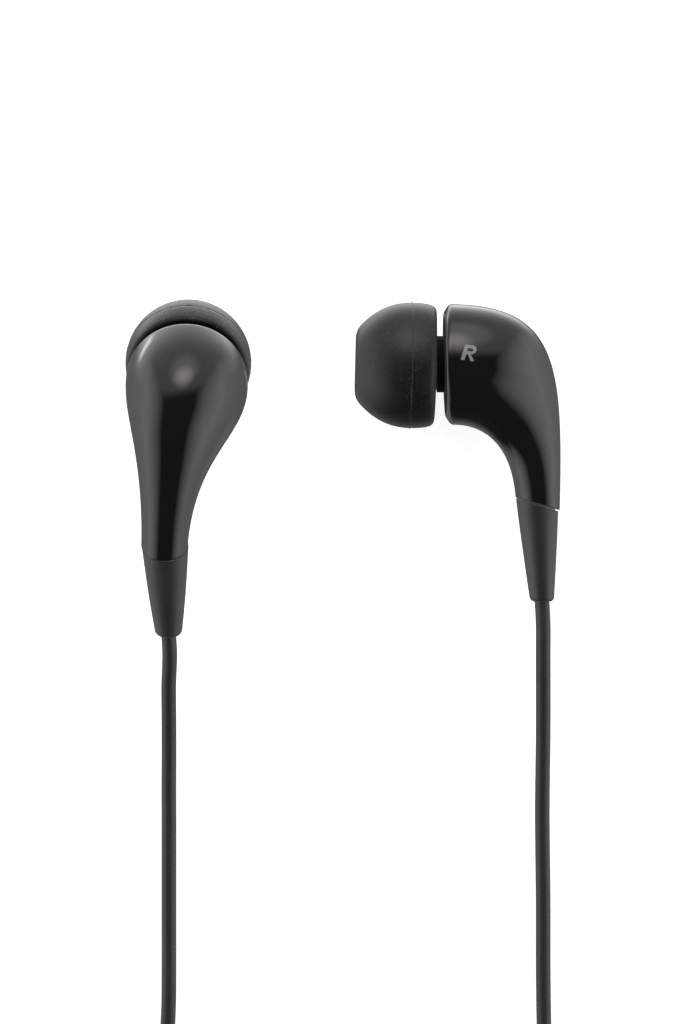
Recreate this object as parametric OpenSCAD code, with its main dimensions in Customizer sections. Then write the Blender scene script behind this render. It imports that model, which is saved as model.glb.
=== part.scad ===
// Wired in-ear earphones: two elbow housings, soft tips, a Y-shaped cord and a stereo plug.
// The pair lies on a table. The right one lies on its side and the left one on its tip.
// Each ear is drawn once: x runs back along the nozzle, y up, z away from the cheek.

/* [Housing] */
// Wall thickness
housing_wall = 0.85; // [0.7:0.05:0.9]
// Depth of the rounded front rim
rim_depth = 0.7; // [0.5:0.1:1]
// Radius lost at the front rim
rim_round = 0.55; // [0.3:0.05:0.6]
// Distance from the front face back to the rear of the stem
housing_depth = 11.75; // [11.2:0.05:12.4]
// Drop from the nozzle's axis to the rear of the stem's end
stem_drop = 14.6; // [13:0.1:17]
// Front-to-back size of the stem's end
stem_depth = 4.45; // [4.2:0.05:4.8]
// Side-to-side size of the stem's end
stem_width = 4.6; // [4.4:0.1:5]
// How much higher the front of the stem's end is than its rear
seam_rise = 1.3; // [0.8:0.1:1.6]
// How far the stem's end bows toward the cheek
stem_bow = 2.15; // [1.8:0.05:2.6]

/* [Front cap and nozzle] */
// Thickness of the rim that shows in front of the housing
cap_rim = 0.2; // [0.15:0.05:0.4]
// Depth of the ring that plugs into the housing
cap_spigot = 1.8; // [1.2:0.1:2.4]
// Wall of that ring
cap_spigot_wall = 0.45; // [0.35:0.05:0.5]
// Thickness of the cap's plate
cap_plate = 0.8; // [0.6:0.05:0.9]
// Diameter of the collar that the ear tip stops against
collar_d = 5.65; // [5.5:0.05:6.4]
// Length of the collar
collar_length = 0.75; // [0.5:0.05:1.2]
// Diameter of the nozzle's neck
neck_d = 4.7; // [4.4:0.1:5]
// Length of the nozzle with its collar
nozzle_length = 4.8; // [4.2:0.1:5.4]
// Diameter of the lip that holds the ear tip
lip_d = 5.3; // [5.1:0.05:5.4]
// Width of the lip
lip_width = 0.9; // [0.6:0.1:1.2]
// Diameter of the sound bore
sound_bore_d = 3.2; // [2.6:0.1:3.4]
// Diameter of the mesh disc in the nozzle's mouth
mesh_d = 4; // [3.6:0.1:4.2]
// Thickness of the mesh disc
mesh_thickness = 0.2; // [0.1:0.05:0.3]
// Distance between the mesh's openings
mesh_pitch = 0.72; // [0.6:0.04:0.9]

/* [Ear tip] */
// Largest diameter
tip_d = 12.6; // [11.6:0.1:13.4]
// Length from the front face to the rear rim
tip_length = 8.05; // [7.4:0.05:8.6]
// Diameter of the flat front face
tip_face_d = 7.1; // [6.6:0.1:7.6]
// Wall of the skirt
tip_skirt_wall = 0.65; // [0.5:0.05:0.8]
// Wall of the core tube
tip_core_wall = 0.6; // [0.5:0.05:0.7]
// Diameter of the mouth
tip_mouth_d = 3.8; // [3.2:0.1:4.2]

/* [Driver] */
// Diameter of the driver
driver_d = 9.2; // [8.8:0.1:9.3]
// Wall of the driver's frame in front of its ledge
frame_wall = 0.45; // [0.35:0.05:0.55]
// Depth of the driver's frame
driver_depth = 1.9; // [1.8:0.1:2.2]
// Thickness of the foam gasket in front of the driver
gasket_thickness = 0.2; // [0.15:0.05:0.3]
// Thickness of the perforated cover
cover_thickness = 0.15; // [0.1:0.05:0.2]
// Diameter of the voice coil's tube
voice_coil_d = 5.4; // [5.2:0.05:5.6]
// Wall of the voice coil
voice_coil_wall = 0.2; // [0.15:0.05:0.25]
// Height of the voice coil
voice_coil_height = 1.2; // [1:0.1:1.3]
// Air on each side of the voice coil
magnet_air = 0.2; // [0.15:0.05:0.25]
// Thickness of the diaphragm film
film = 0.1; // [0.08:0.01:0.14]
// Height of the diaphragm's dome
dome_height = 0.3; // [0.2:0.05:0.35]
// Largest travel of the diaphragm each way
travel = 0.1; // [0.05:0.01:0.12]
// Thickness of the magnet
magnet_thickness = 1; // [0.8:0.1:1.2]
// Thickness of the pole plate
pole_thickness = 0.4; // [0.3:0.05:0.5]
// Wall of the steel cup
yoke_wall = 0.5; // [0.4:0.05:0.6]
// Diameter of the terminal board
board_d = 4.8; // [4.2:0.1:5.2]
// Thickness of the terminal board
board_thickness = 0.4; // [0.3:0.05:0.6]

/* [Strain relief] */
// Length below the housing
relief_length = 9.7; // [8:0.1:12]
// Front-to-back size of the end
relief_end_depth = 2.4; // [2.3:0.05:3]
// Side-to-side size of the end
relief_end_width = 2.65; // [2.3:0.05:3]
// Step in from the housing's surface at its front and rear
relief_step = 0.1; // [0.05:0.05:0.25]
// Diameter of the neck that plugs into the stem
relief_neck_d = 2.6; // [2.3:0.1:2.7]
// Length of that neck
relief_neck = 0.75; // [0.5:0.05:1]
// Open seam between housing and strain relief
relief_seam = 0.12; // [0.05:0.01:0.2]

/* [Cords] */
// Diameter of the two branch cords
branch_d = 1.5; // [1.4:0.05:1.6]
// Diameter of the common cord
trunk_d = 2; // [1.8:0.05:2.1]
// Air between neighbouring turns of a coil
turn_air = 0.45; // [0.42:0.01:0.6]
// Turns of each branch coil
branch_turns = 4.25; // [3.25:1:5.25]
// Outer turn radius of each branch coil
branch_coil_r = 10.3; // [10:0.05:10.5]
// Turns of the common cord's coil
trunk_turns = 11.75; // [9.75:1:11.75]
// Outer turn radius of the common cord's coil
trunk_coil_r = 15.3; // [14.5:0.1:15.6]
// Thickness of the ties round the coils
tie_thickness = 0.5; // [0.3:0.05:0.7]
// Width of the ties
tie_width = 3; // [2:0.1:4]
// Length of the joint where the branches meet
split_length = 13; // [11:0.5:15]
// Diameter of that joint
split_d = 5.2; // [4.8:0.1:6]
// Distance between the two branch cords in it
split_pitch = 2.2; // [2:0.05:2.6]

/* [Plug] */
// Diameter of the plug's contacts
pin_d = 3.5; // [3.5:0.1:3.6]
// Length of the plug's contacts
pin_length = 14; // [13:0.1:15]
// Length of the tip contact
tip_contact = 4; // [3.6:0.1:4.4]
// Length of the ring contact
ring_contact = 2.4; // [2:0.1:3]
// Length of each insulating ring
insulator = 0.7; // [0.5:0.1:0.9]
// Diameter of the plug's grip
grip_d = 6.8; // [6.4:0.1:7.2]
// Length of the plug's grip
grip_length = 13; // [11:0.5:16]
// Length of the plug's strain relief
boot_length = 7; // [6:0.5:9]
// Diameter of the end of the plug's strain relief
boot_end_d = 2.8; // [2.4:0.1:3.2]

/* [Hidden] */

gloss = "#17181a";
silicone = "#3a3b3d";
rubber = "#323335";
cord_colour = "#2f302f";

smooth = 72;
loft_sides = 36;
loft_steps = 18;
rim_steps = 4;
slip = 0.05;
fit = 0.02;

// Where each ear's drawing lies in the pair
ear_pitch = 28;
right_x = 10.07;
right_y = 10.34;
left_x = -15.42;
left_y = 9.09;

// ---- curves ----

// A point on the cubic curve with these four handles
function bezier(p, t) =
    pow(1 - t, 3) * p[0] + 3 * pow(1 - t, 2) * t * p[1] + 3 * (1 - t) * t * t * p[2]
    + pow(t, 3) * p[3];
// The curve as points, without its last one
function arc_points(p, n) = [for (i = [0 : n - 1]) bezier(p, i / n)];
function unit(v) = v / norm(v);
function along(points, i) =
    unit(points[min(i + 1, len(points) - 1)] - points[max(i - 1, 0)]);
function path_length(points) =
    [for (i = 0, sum = 0; i < len(points); sum = sum + norm(points[min(i + 1,
        len(points) - 1)] - points[i]), i = i + 1) sum][len(points) - 1];

// ---- solids from rings of points ----

// Two triangles for each pair of neighbours on rings a and b
function band(a, b, sides) =
    [for (k = [0 : sides - 1], half = [0, 1])
        half == 0 ? [a * sides + k, a * sides + (k + 1) % sides, b * sides + k]
            : [a * sides + (k + 1) % sides, b * sides + (k + 1) % sides, b * sides + k]];
function fan(ring, sides, flip) =
    [for (k = [1 : sides - 2])
        flip ? [ring * sides, ring * sides + k + 1, ring * sides + k]
            : [ring * sides, ring * sides + k, ring * sides + k + 1]];
function flatten(lists) = [for (list = lists, item = list) item];

// A solid rod through these rings
module rod(rings) {
    sides = len(rings[0]);
    last = len(rings) - 1;
    polyhedron(flatten(rings), concat(
        flatten([for (i = [0 : last - 1]) band(i, i + 1, sides)]),
        fan(0, sides, true), fan(last, sides, false)));
}

// A pipe: the rings run down the outside and come back up the inside
module pipe(rings) {
    sides = len(rings[0]);
    count = len(rings);
    polyhedron(flatten(rings),
        flatten([for (i = [0 : count - 1]) band(i, (i + 1) % count, sides)]));
}

// The rings of a round cord along a path
function cord_rings(points, d, sides) =
    [for (i = [0 : len(points) - 1])
        let (t = along(points, i), side = unit(cross([0, 0, 1], t)), up = cross(t, side))
        [for (k = [0 : sides - 1])
            points[i] + d / 2 * (cos(360 * (k + 0.5) / sides) * side
                + sin(360 * (k + 0.5) / sides) * up)]];

module cord(points, d) {
    color(cord_colour) rod(cord_rings(points, d, 8));
}

// A turned piece on the ear's nozzle axis, from points [distance from axis, x]
module turned(profile) {
    rotate([0, 90, 0]) rotate_extrude($fn = smooth) polygon(profile);
}

module ring(outer_d, inner_d, from, to) {
    turned([[inner_d / 2, from], [outer_d / 2, from], [outer_d / 2, to], [inner_d / 2, to]]);
}

// ---- the housing's shape ----

// The round front holds the driver, the cap's ring round it and the housing's wall
front_d = driver_d + 2 * (slip + cap_spigot_wall + slip + housing_wall);
front_r = front_d / 2;
seam_x = 0.25;
body_x = seam_x + rim_depth;
stem_front = [housing_depth - stem_depth, -stem_drop + seam_rise];
stem_rear = [housing_depth, -stem_drop];
outer_rail = [[body_x, front_r], [0.986 * housing_depth, 0.96 * front_r],
    [1.021 * housing_depth, -0.024 * front_r], stem_rear];
inner_rail = [[body_x, -front_r], [body_x + 3.05, -front_r],
    [stem_front[0] - 0.48, -1.317 * front_r], stem_front];
width_rail = [front_r, 1.063 * front_r, 0.42 * front_r, stem_width / 2];
bow_rail = [0, 0.16 * stem_bow, -0.66 * stem_bow, -stem_bow];

// Points round one section, inset from the housing's surface
function section(t, inset, sides = loft_sides) =
    let (a = bezier(outer_rail, t), b = bezier(inner_rail, t), c = (a + b) / 2,
        d = unit(a - b), h = norm(a - b) / 2 - inset, w = bezier(width_rail, t) - inset,
        z = bezier(bow_rail, t))
    [for (k = [0 : sides - 1]) let (f = 360 * k / sides)
        [c[0] + h * cos(f) * d[0], c[1] + h * cos(f) * d[1], z + w * sin(f)]];
function disc(x, r, sides = loft_sides) =
    [for (k = [0 : sides - 1]) let (f = 360 * k / sides) [x, r * cos(f), r * sin(f)]];
function rim_ring(i) =
    let (f = 90 * i / rim_steps)
    disc(body_x - rim_depth * cos(f), front_r - rim_round * (1 - sin(f)));

housing_bore = front_d - 2 * housing_wall;

module housing() {
    outside = concat([for (i = [0 : rim_steps - 1]) rim_ring(i)],
        [for (i = [0 : loft_steps]) section(i / loft_steps, 0)]);
    inside = concat([for (i = [loft_steps : -1 : 0]) section(i / loft_steps, housing_wall)],
        [disc(seam_x, housing_bore / 2)]);
    color(gloss) pipe(concat(outside, inside));
}

// ---- front cap, nozzle and mesh ----

spigot_d = housing_bore - 2 * slip;
driver_seat_d = driver_d + 2 * slip;
mesh_seat_d = mesh_d + 2 * slip;
mesh_seat = mesh_thickness + slip;
cap_rim_d = front_d - 2 * rim_round;
cap_edge = min(0.2, cap_rim);

module front_cap() {
    plate_end = cap_plate;
    spigot_end = seam_x + cap_spigot;
    front = -nozzle_length;
    lip_front = (lip_d - neck_d) / 2;
    color(gloss) turned([
        [mesh_seat_d / 2, front],
        [neck_d / 2, front],
        [lip_d / 2, front + lip_front],
        [lip_d / 2, front + lip_width],
        [neck_d / 2, front + lip_width],
        [neck_d / 2, -collar_length],
        [collar_d / 2, -collar_length],
        [collar_d / 2, 0],
        [cap_rim_d / 2 - 0.5, 0],
        [cap_rim_d / 2 - 0.1, cap_edge / 3],
        [cap_rim_d / 2, cap_edge],
        [spigot_d / 2, cap_rim],
        [spigot_d / 2, spigot_end],
        [driver_seat_d / 2, spigot_end],
        [driver_seat_d / 2, plate_end],
        [sound_bore_d / 2, plate_end],
        [sound_bore_d / 2, front + mesh_seat],
        [mesh_seat_d / 2, front + mesh_seat]]);
}

module nozzle_mesh() {
    front = -nozzle_length + slip;
    color("#6e6f70") translate([front, 0, 0]) rotate([0, 90, 0]) difference() {
        cylinder(h = mesh_thickness, d = mesh_d, $fn = smooth);
        for (i = [-2 : 2], j = [-2 : 2])
            if (abs(i + j) <= 2)
                translate([mesh_pitch * (i + j / 2), mesh_pitch * j * sin(60), -0.1])
                    cylinder(h = mesh_thickness + 0.2, d = 0.66 * mesh_pitch, $fn = 6);
    }
}

// ---- ear tip ----

tip_rear = -collar_length;
tip_front = tip_rear - tip_length;
tip_r = tip_d / 2;
tip_face_r = tip_face_d / 2;
tip_core_bore_r = lip_d / 2 + slip;
tip_core_r = tip_core_bore_r + tip_core_wall;
tip_step = -nozzle_length - 0.4;
widest = tip_rear - 0.3 * tip_length;
function reach(share) = tip_rear - share * tip_length;
tip_outside = concat(
    arc_points([[tip_face_r - 1.1, tip_front], [tip_face_r - 0.2, tip_front],
        [tip_face_r + 0.1, tip_front + 0.25], [tip_face_r + 0.55, tip_front + 0.65]], 6),
    arc_points([[tip_face_r + 0.55, tip_front + 0.65], [tip_face_r + 1.85, reach(0.76)],
        [tip_r - 0.02, reach(0.57)], [tip_r, widest]], 12),
    arc_points([[tip_r, widest], [tip_r, reach(0.2)], [tip_r - 0.15, reach(0.12)],
        [tip_r - 0.35, reach(0.07)]], 5),
    arc_points([[tip_r - 0.35, reach(0.07)], [tip_r - 0.5, reach(0.02)],
        [tip_r - 0.75, tip_rear], [tip_r - 1, tip_rear]], 5));
tip_inside = concat(
    arc_points([[tip_r - 1, tip_rear], [tip_r - 1.15, reach(0.01)],
        [tip_r - tip_skirt_wall, reach(0.15)], [tip_r - tip_skirt_wall, widest]], 6),
    arc_points([[tip_r - tip_skirt_wall, widest],
        [tip_r - tip_skirt_wall, reach(0.5)], [tip_face_r + 1.4, reach(0.62)],
        [tip_core_r + 0.7, reach(0.71)]], 8),
    arc_points([[tip_core_r + 0.7, reach(0.71)], [tip_core_r + 0.2, reach(0.76)],
        [tip_core_r, reach(0.74)], [tip_core_r, reach(0.66)]], 4));

module ear_tip() {
    core_rear = tip_rear - slip;
    color(silicone) turned(concat(
        [[tip_mouth_d / 2, tip_front + 0.3], [tip_mouth_d / 2 + 0.3, tip_front]],
        tip_outside, tip_inside,
        [[tip_core_r, reach(0.66)], [tip_core_r, core_rear],
            [tip_core_bore_r, core_rear], [tip_core_bore_r, tip_step],
            [tip_mouth_d / 2, tip_step]]));
}

// ---- driver, from front to back ----

gasket_x = cap_plate;
cover_x = gasket_x + gasket_thickness;
frame_x = cover_x + cover_thickness;
dome_x = frame_x + travel + 0.1;
film_x = dome_x + dome_height;
ledge_x = film_x + film + travel + 0.05;
frame_end = frame_x + driver_depth;
gap_outer_d = voice_coil_d + 2 * magnet_air;
gap_inner_d = voice_coil_d - 2 * voice_coil_wall - 2 * magnet_air;
yoke_d = gap_outer_d + 2 * yoke_wall;
pole_x = ledge_x + 0.15;
magnet_x = pole_x + pole_thickness;
yoke_floor = magnet_x + magnet_thickness;
yoke_end = yoke_floor + yoke_wall;
board_x = yoke_end + fit;
driver_inner_d = driver_d - 2 * frame_wall;

module gasket() {
    color("#55504a") ring(driver_d, driver_inner_d, gasket_x, cover_x - fit);
}

module driver_cover() {
    color("#9a9a98") translate([cover_x, 0, 0]) rotate([0, 90, 0]) difference() {
        cylinder(h = cover_thickness - fit, d = driver_d, $fn = smooth);
        for (k = [0 : 5])
            rotate([0, 0, 60 * k]) translate([driver_inner_d / 4, 0, -0.1])
                cylinder(h = cover_thickness + 0.2, d = 1.1, $fn = 12);
        translate([0, 0, -0.1]) cylinder(h = cover_thickness + 0.2, d = 1.1, $fn = 12);
    }
}

// A dome over the voice coil and a half-round surround, as one film
module diaphragm() {
    edge = driver_inner_d / 2 - slip;
    coil_r = voice_coil_d / 2;
    top = concat(
        [for (i = [0 : 6]) let (f = 90 * i / 6) [coil_r * sin(f), dome_x + dome_height
            * (1 - cos(f))]],
        [for (i = [0 : 6]) let (f = 180 * i / 6)
            [(coil_r + edge - 0.4) / 2 - (edge - 0.4 - coil_r) / 2 * cos(f),
                film_x - 0.8 * dome_height * sin(f)]],
        [[edge, film_x]]);
    color("#c9b27a") turned(concat(top, [for (i = [len(top) - 1 : -1 : 0])
        [top[i][0], top[i][1] + film]]));
}

module voice_coil() {
    color("#b0682e") ring(voice_coil_d, voice_coil_d - 2 * voice_coil_wall, film_x + film,
        film_x + film + voice_coil_height);
}

// Ring with a ledge that carries the steel cup, and four vents through the ledge
module driver_frame() {
    ledge = (driver_inner_d - yoke_d) / 2;
    color("#2b2b2c") difference() {
        turned([[driver_inner_d / 2, frame_x], [driver_d / 2, frame_x],
            [driver_d / 2, frame_end], [yoke_d / 2 + fit, frame_end],
            [yoke_d / 2 + fit, ledge_x], [driver_inner_d / 2, ledge_x]]);
        for (k = [0 : 3])
            rotate([45 + 90 * k, 0, 0]) translate([frame_x, (yoke_d + ledge) / 2, 0])
                rotate([0, 90, 0]) cylinder(h = 2 * driver_depth, d = 0.65 * ledge, $fn = 24);
    }
}

module pole_plate() {
    color("#8d8f92") ring(gap_inner_d, 1, pole_x, magnet_x);
}

module magnet() {
    color("#55585c") ring(gap_inner_d - 0.2, 1, magnet_x, yoke_floor);
}

module yoke() {
    color("#a5a8ab") turned([[gap_outer_d / 2, pole_x], [yoke_d / 2, pole_x],
        [yoke_d / 2, yoke_end], [0.5, yoke_end], [0.5, yoke_floor],
        [gap_outer_d / 2, yoke_floor]]);
}

// Round board with two solder pads
pad_height = 0.15;
pad_y = 0.25 * board_d;
module terminal_board() {
    color("#2f6b45") ring(board_d, 0.8, board_x, board_x + board_thickness);
    color("#c8c8c2") for (side = [-1, 1])
        translate([board_x + board_thickness, pad_y * side, 0]) rotate([0, 90, 0])
            cylinder(h = pad_height, d = 1, $fn = smooth);
}

// ---- strain relief and what it holds ----

stem_end = concat((stem_front + stem_rear) / 2, [-stem_bow]);
relief_top = stem_end + [0, -relief_seam, 0];
relief_end = relief_top + [0.43, -relief_length, 0.2];
// The rubber sits a little toward the front and away from the cheek, and swells midway
relief_shift = [-0.06, 0, 0.07];
relief_swell = 0.07;
relief_axis = unit(relief_end - relief_top);
relief_bore_d = branch_d + 2 * slip;
relief_round = 0.45;

// A section of the strain relief, from 0 at the seam to 1 at its end
function relief_ring(s, inset) =
    let (d = unit(concat((1 - s) * unit(stem_rear - stem_front) + s * [1, 0], [0])),
        c = (1 - s) * (relief_top + relief_shift) + s * relief_end,
        h = (1 - s) * (norm(stem_rear - stem_front) / 2 - relief_step)
            + s * relief_end_depth / 2 - inset,
        w = (1 - s) * stem_width / 2 + s * relief_end_width / 2
            + relief_swell * sin(180 * s) - inset)
    [for (k = [0 : loft_sides - 1]) let (f = 360 * k / loft_sides)
        c + h * cos(f) * d + w * sin(f) * [0, 0, 1]];
// A round ring square to the strain relief's axis, this far down from its top
function relief_round_ring(down, d) =
    let (side = unit(cross([0, 0, 1], relief_axis)), front = cross(relief_axis, side))
    [for (k = [0 : loft_sides - 1]) let (f = 360 * k / loft_sides)
        relief_top + down * relief_axis + d / 2 * (cos(f) * side + sin(f) * front)];

module strain_relief() {
    round_share = relief_round / relief_length;
    length = norm(relief_end - relief_top);
    neck_inset = (stem_width - relief_neck_d) / 2;
    outside = concat([relief_round_ring(-relief_neck, relief_neck_d),
            relief_ring(0, neck_inset)],
        [for (i = [0 : 5]) relief_ring(i / 5 * (1 - round_share), 0)],
        [for (i = [1 : 3]) let (f = 30 * i)
            relief_ring(1 - round_share * (1 - sin(f)), relief_round * (1 - cos(f)))]);
    inside = [for (down = [length, length / 2, -relief_neck])
        relief_round_ring(down, relief_bore_d)];
    color(rubber) pipe(concat(outside, inside));
}

// Turns a piece drawn along +z so that it runs down the strain relief's axis
module on_relief(offset) {
    lean = atan2(norm([relief_axis[0], relief_axis[1]]), relief_axis[2]);
    turn = atan2(relief_axis[1], relief_axis[0]);
    translate(relief_top + offset * relief_axis) rotate([0, lean, turn]) children();
}

stop_length = 1.6;
stop_d = 2.1;
stop_at = -relief_neck - slip - stop_length;
end_at = stop_at - 0.4;

// The end of the cord, through the strain relief and its stop
module cord_end() {
    color(cord_colour) on_relief(end_at)
        cylinder(h = norm(relief_end - relief_top) - end_at, d = branch_d, $fn = smooth);
}

// Crimp that keeps the cord from pulling out
module cord_stop() {
    color("#b9bcbe") on_relief(stop_at) difference() {
        cylinder(h = stop_length, d = stop_d, $fn = smooth);
        translate([0, 0, -1])
            cylinder(h = stop_length + 2, d = branch_d + 2 * fit, $fn = smooth);
    }
}

// Two enamelled wires from the solder pads down to the cord's end
wire_d = 0.3;
module lead_wires() {
    wire_start = board_x + board_thickness + pad_height;
    wire_end = relief_top + end_at * relief_axis;
    function middle(t) = concat((bezier(outer_rail, t) + bezier(inner_rail, t)) / 2,
        [bezier(bow_rail, t)]);
    for (side = [-1, 1])
        color("#a8552a") rod(cord_rings([
            [wire_start, pad_y * side, 0],
            [wire_start + 0.4, pad_y * side, 0],
            [wire_start + 1.3, pad_y * side - 0.7, -0.3 + 0.2 * side],
            middle(0.5) + [0, 0, 0.3 * side],
            middle(0.7) + [0, 0, 0.3 * side],
            wire_end + [-0.1, 1.2, 0.3 * side],
            wire_end + [0, 0.02, 0.3 * side]], wire_d, 6));
}

// ---- the pair on the table ----

right_z = tip_r;
left_z = -min([for (p = tip_outside) p[1] * cos(ear_pitch) - p[0] * sin(ear_pitch)]);

module right() {
    translate([right_x, right_y, right_z]) children();
}

module left() {
    translate([left_x, left_y, left_z]) rotate([ear_pitch, 0, 0]) rotate([0, -90, 0])
        mirror([0, 0, 1]) children();
}

function on_right(p) = p + [right_x, right_y, right_z];
function turn_left(p) = [p[2], p[1] * cos(ear_pitch) - p[0] * sin(ear_pitch),
    p[1] * sin(ear_pitch) + p[0] * cos(ear_pitch)];
function on_left(p) = turn_left(p) + [left_x, left_y, left_z];

// ---- cord routes: hand-set points between the pieces ----

left_exit = on_left(relief_end);
left_way = turn_left(relief_axis);
left_route = [left_exit, left_exit + 2.5 * left_way,
    [-17.5, -22, 4.2], [-17.55, -25.5, 2.75], [-17.6, -29, 1.6], [-17.65, -32.5, 0.95],
    [-17.65, -36, 0.75], [-17.65, -40.5, 0.75], [-17.65, -45, 0.75], [-17.65, -50, 0.75],
    [-17.7, -55, 0.75], [-18, -58.5, 0.8], [-19, -61.6, 0.9], [-20.3, -64, 1.05],
    [-21.3, -66, 1.2], [-21.6, -67.5, 1.3], [-21.6, -68.5, 1.3]];
right_exit = on_right(relief_end);
right_route = [right_exit, right_exit + 2.5 * relief_axis,
    [20.15, -19.5, 4.1], [20.2, -23, 3.4], [20.25, -27, 2.4], [20.25, -31, 1.5],
    [20.25, -35, 0.9], [20.3, -39.5, 0.75], [20.35, -44.5, 0.75], [20.35, -50, 0.75],
    [20.4, -55, 0.75], [20.5, -58.5, 0.8], [20.8, -61.6, 0.9], [21.2, -64, 1.05],
    [21.5, -66, 1.2], [21.6, -67.5, 1.3], [21.6, -68.5, 1.3]];
split_at = [0, -88, split_d / 2];
left_tail_route = [[-9.8, -80.3, 3.25], [-7.8, -80.3, 3.25], [-5, -80.8, 3.05],
    [-2.8, -82.3, 2.75], [-1.6, -84.2, 2.6], split_at + [-split_pitch / 2, 1.8, 0],
    split_at - [split_pitch / 2, 0, 0]];
right_tail_route = [for (p = left_tail_route) [-p[0], p[1], p[2]]];
lead_route = [split_at - [0, split_length, 0], split_at - [0, split_length + 2.2, 0],
    [1, -105.9, 2.4], [4, -108.9, 2.1], [7.5, -111.3, 1.8], [9.7, -114.2, 1.6],
    [10.2, -117, 1.55], [10.2, -119, 1.55]];
tail_route = [[-3.1, -105.7, 8.9], [-0.6, -105.7, 8.9], [3, -105.7, 8.5],
    [7, -105.8, 7.5], [11, -106.9, 6.1], [14, -109.6, 4.7], [15.4, -113.2, 3.7],
    [15.6, -116.5, 3.4], [15.6, -119, 3.4]];

// ---- coils ----

branch_pitch = branch_d + turn_air;
trunk_pitch = trunk_d + turn_air;
branch_layers = 2;
trunk_layers = 4;
coil_steps = 24;
coil_z = tie_thickness + slip;
branch_z = coil_z + branch_d / 2;
trunk_z = coil_z + trunk_d / 2;
left_coil_at = [-11.3, -70, branch_z];
right_coil_at = [11.3, -70, branch_z];
trunk_coil_at = [-5.1, -121, trunk_z];

// A coil spirals in and out again by turns, and climbs a layer in the half turn where
// the spiral reverses. way is 1 for anticlockwise and -1 for clockwise.
function coil_point(t, turns, layers, r, pitch, start, way) =
    let (leg = turns / layers, k = t / leg, m = k - 2 * floor(k / 2),
        in = m <= 1 ? m : 2 - m, radius = r - pitch * leg * in, a = start + way * 360 * t,
        rises = [for (i = [1 : layers - 1]) min(1, max(0, 2 * (t - i * leg) + 0.5))])
    [radius * cos(a), radius * sin(a), pitch * (rises * [for (i = rises) 1])];
function coil_way(a, way) = way * [-sin(a), cos(a), 0];
// The coil's centre line, with a straight run of one diameter at each end
function coil_path(at, turns, layers, r, pitch, d, start, way) =
    let (n = round(turns * coil_steps), end = start + way * 360 * turns,
        curl = [for (i = [0 : n]) at + coil_point(turns * i / n, turns, layers, r, pitch,
            start, way)])
    concat([curl[0] - d * coil_way(start, way)], curl, [curl[n] + d * coil_way(end, way)]);
// Least gap between turns, over points at least half a turn apart
function least_gap(path, d) =
    min([for (i = [0 : len(path) - 1], j = [i + coil_steps / 2 : len(path) - 1])
        norm(path[i] - path[j])]) - d;

left_path = coil_path(left_coil_at, branch_turns, branch_layers, branch_coil_r,
    branch_pitch, branch_d, 180, 1);
right_path = coil_path(right_coil_at, branch_turns, branch_layers, branch_coil_r,
    branch_pitch, branch_d, 0, -1);
trunk_path = coil_path(trunk_coil_at, trunk_turns, trunk_layers, trunk_coil_r,
    trunk_pitch, trunk_d, 0, -1);

echo(least_gap_mm = [least_gap(left_path, branch_d), least_gap(right_path, branch_d),
    least_gap(trunk_path, trunk_d)]);
echo(cord_lengths_mm = [
    path_length(left_route) + path_length(left_path) + path_length(left_tail_route),
    path_length(right_route) + path_length(right_path) + path_length(right_tail_route),
    path_length(lead_route) + path_length(trunk_path) + path_length(tail_route)]);

module coil(path, d) {
    color(cord_colour) rod(cord_rings(path, d, 6));
}

// A flat band round the coil's bundle, at this angle
module tie(at, angle, turns, layers, r, pitch, d) {
    depth = pitch * turns / layers + d + 2 * slip + 0.6;
    height = pitch * (layers - 1) + d + 2 * slip;
    middle = r - pitch * turns / layers / 2;
    color("#26272a") translate([at[0], at[1], at[2]]) rotate([0, 0, angle])
        translate([middle, 0, pitch * (layers - 1) / 2]) rotate([90, 0, 0])
            translate([0, 0, -tie_width / 2]) linear_extrude(tie_width) difference() {
                square([depth + 2 * tie_thickness, height + 2 * tie_thickness],
                    center = true);
                square([depth, height], center = true);
            }
}

// ---- joint of the branches ----

module y_split() {
    r = split_d / 2;
    edge = 0.8;
    color(rubber) translate(split_at) rotate([90, 0, 0]) rotate_extrude($fn = smooth)
        polygon(concat([[0, 0]],
            [for (i = [0 : 4]) let (f = 22.5 * i)
                [r - edge * (1 - sin(f)), edge * (1 - cos(f))]],
            arc_points([[r, 0.6 * split_length], [r, 0.8 * split_length],
                [trunk_d / 2 + 0.9, 0.85 * split_length],
                [trunk_d / 2 + 0.5, split_length]], 8),
            [[trunk_d / 2 + 0.5, split_length], [0, split_length]]));
}

// ---- plug, drawn along the way it goes in ----

plug_at = tail_route[len(tail_route) - 1];
module plug_piece(profile) {
    translate(plug_at) rotate([90, 0, 0]) rotate_extrude($fn = smooth) polygon(profile);
}

grip_end = boot_length + grip_length;
pin_end = grip_end + pin_length;
core_d = 0.8;
insulator_wall = 0.2;
ring_tube_wall = 0.23;
ring_tube_r = core_d / 2 + insulator_wall + 2 * fit;
outer_insulator_r = ring_tube_r + ring_tube_wall + fit;
sleeve_bore_r = outer_insulator_r + insulator_wall + fit;
shank_d = pin_d - 0.5;
pin_root = boot_length + 4;
ring_end = pin_end - tip_contact - insulator;
sleeve_end = ring_end - ring_contact - insulator;
boot_top_d = grip_d - 1.6;
boot_rings = 4;

// Tapered, with rounded ribs, and a stub inside the grip
module plug_boot() {
    step = (boot_length - 1) / boot_rings;
    function taper(y) = boot_end_d / 2 + (boot_top_d - boot_end_d) / 2 * y / boot_length;
    color(rubber) plug_piece(concat([[0, 0], [boot_end_d / 2 - 0.2, 0]],
        [for (k = [0 : boot_rings - 1], p = [[0, 0.2], [0, 0.7], [-0.3, 0.75], [-0.3, 0.95]])
            [taper(k * step + p[1] * step) + p[0], (k + p[1]) * step + 0.2]],
        [[taper(boot_length), boot_length - 0.6], [taper(boot_length), boot_length],
            [0, boot_length]]));
}

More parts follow.
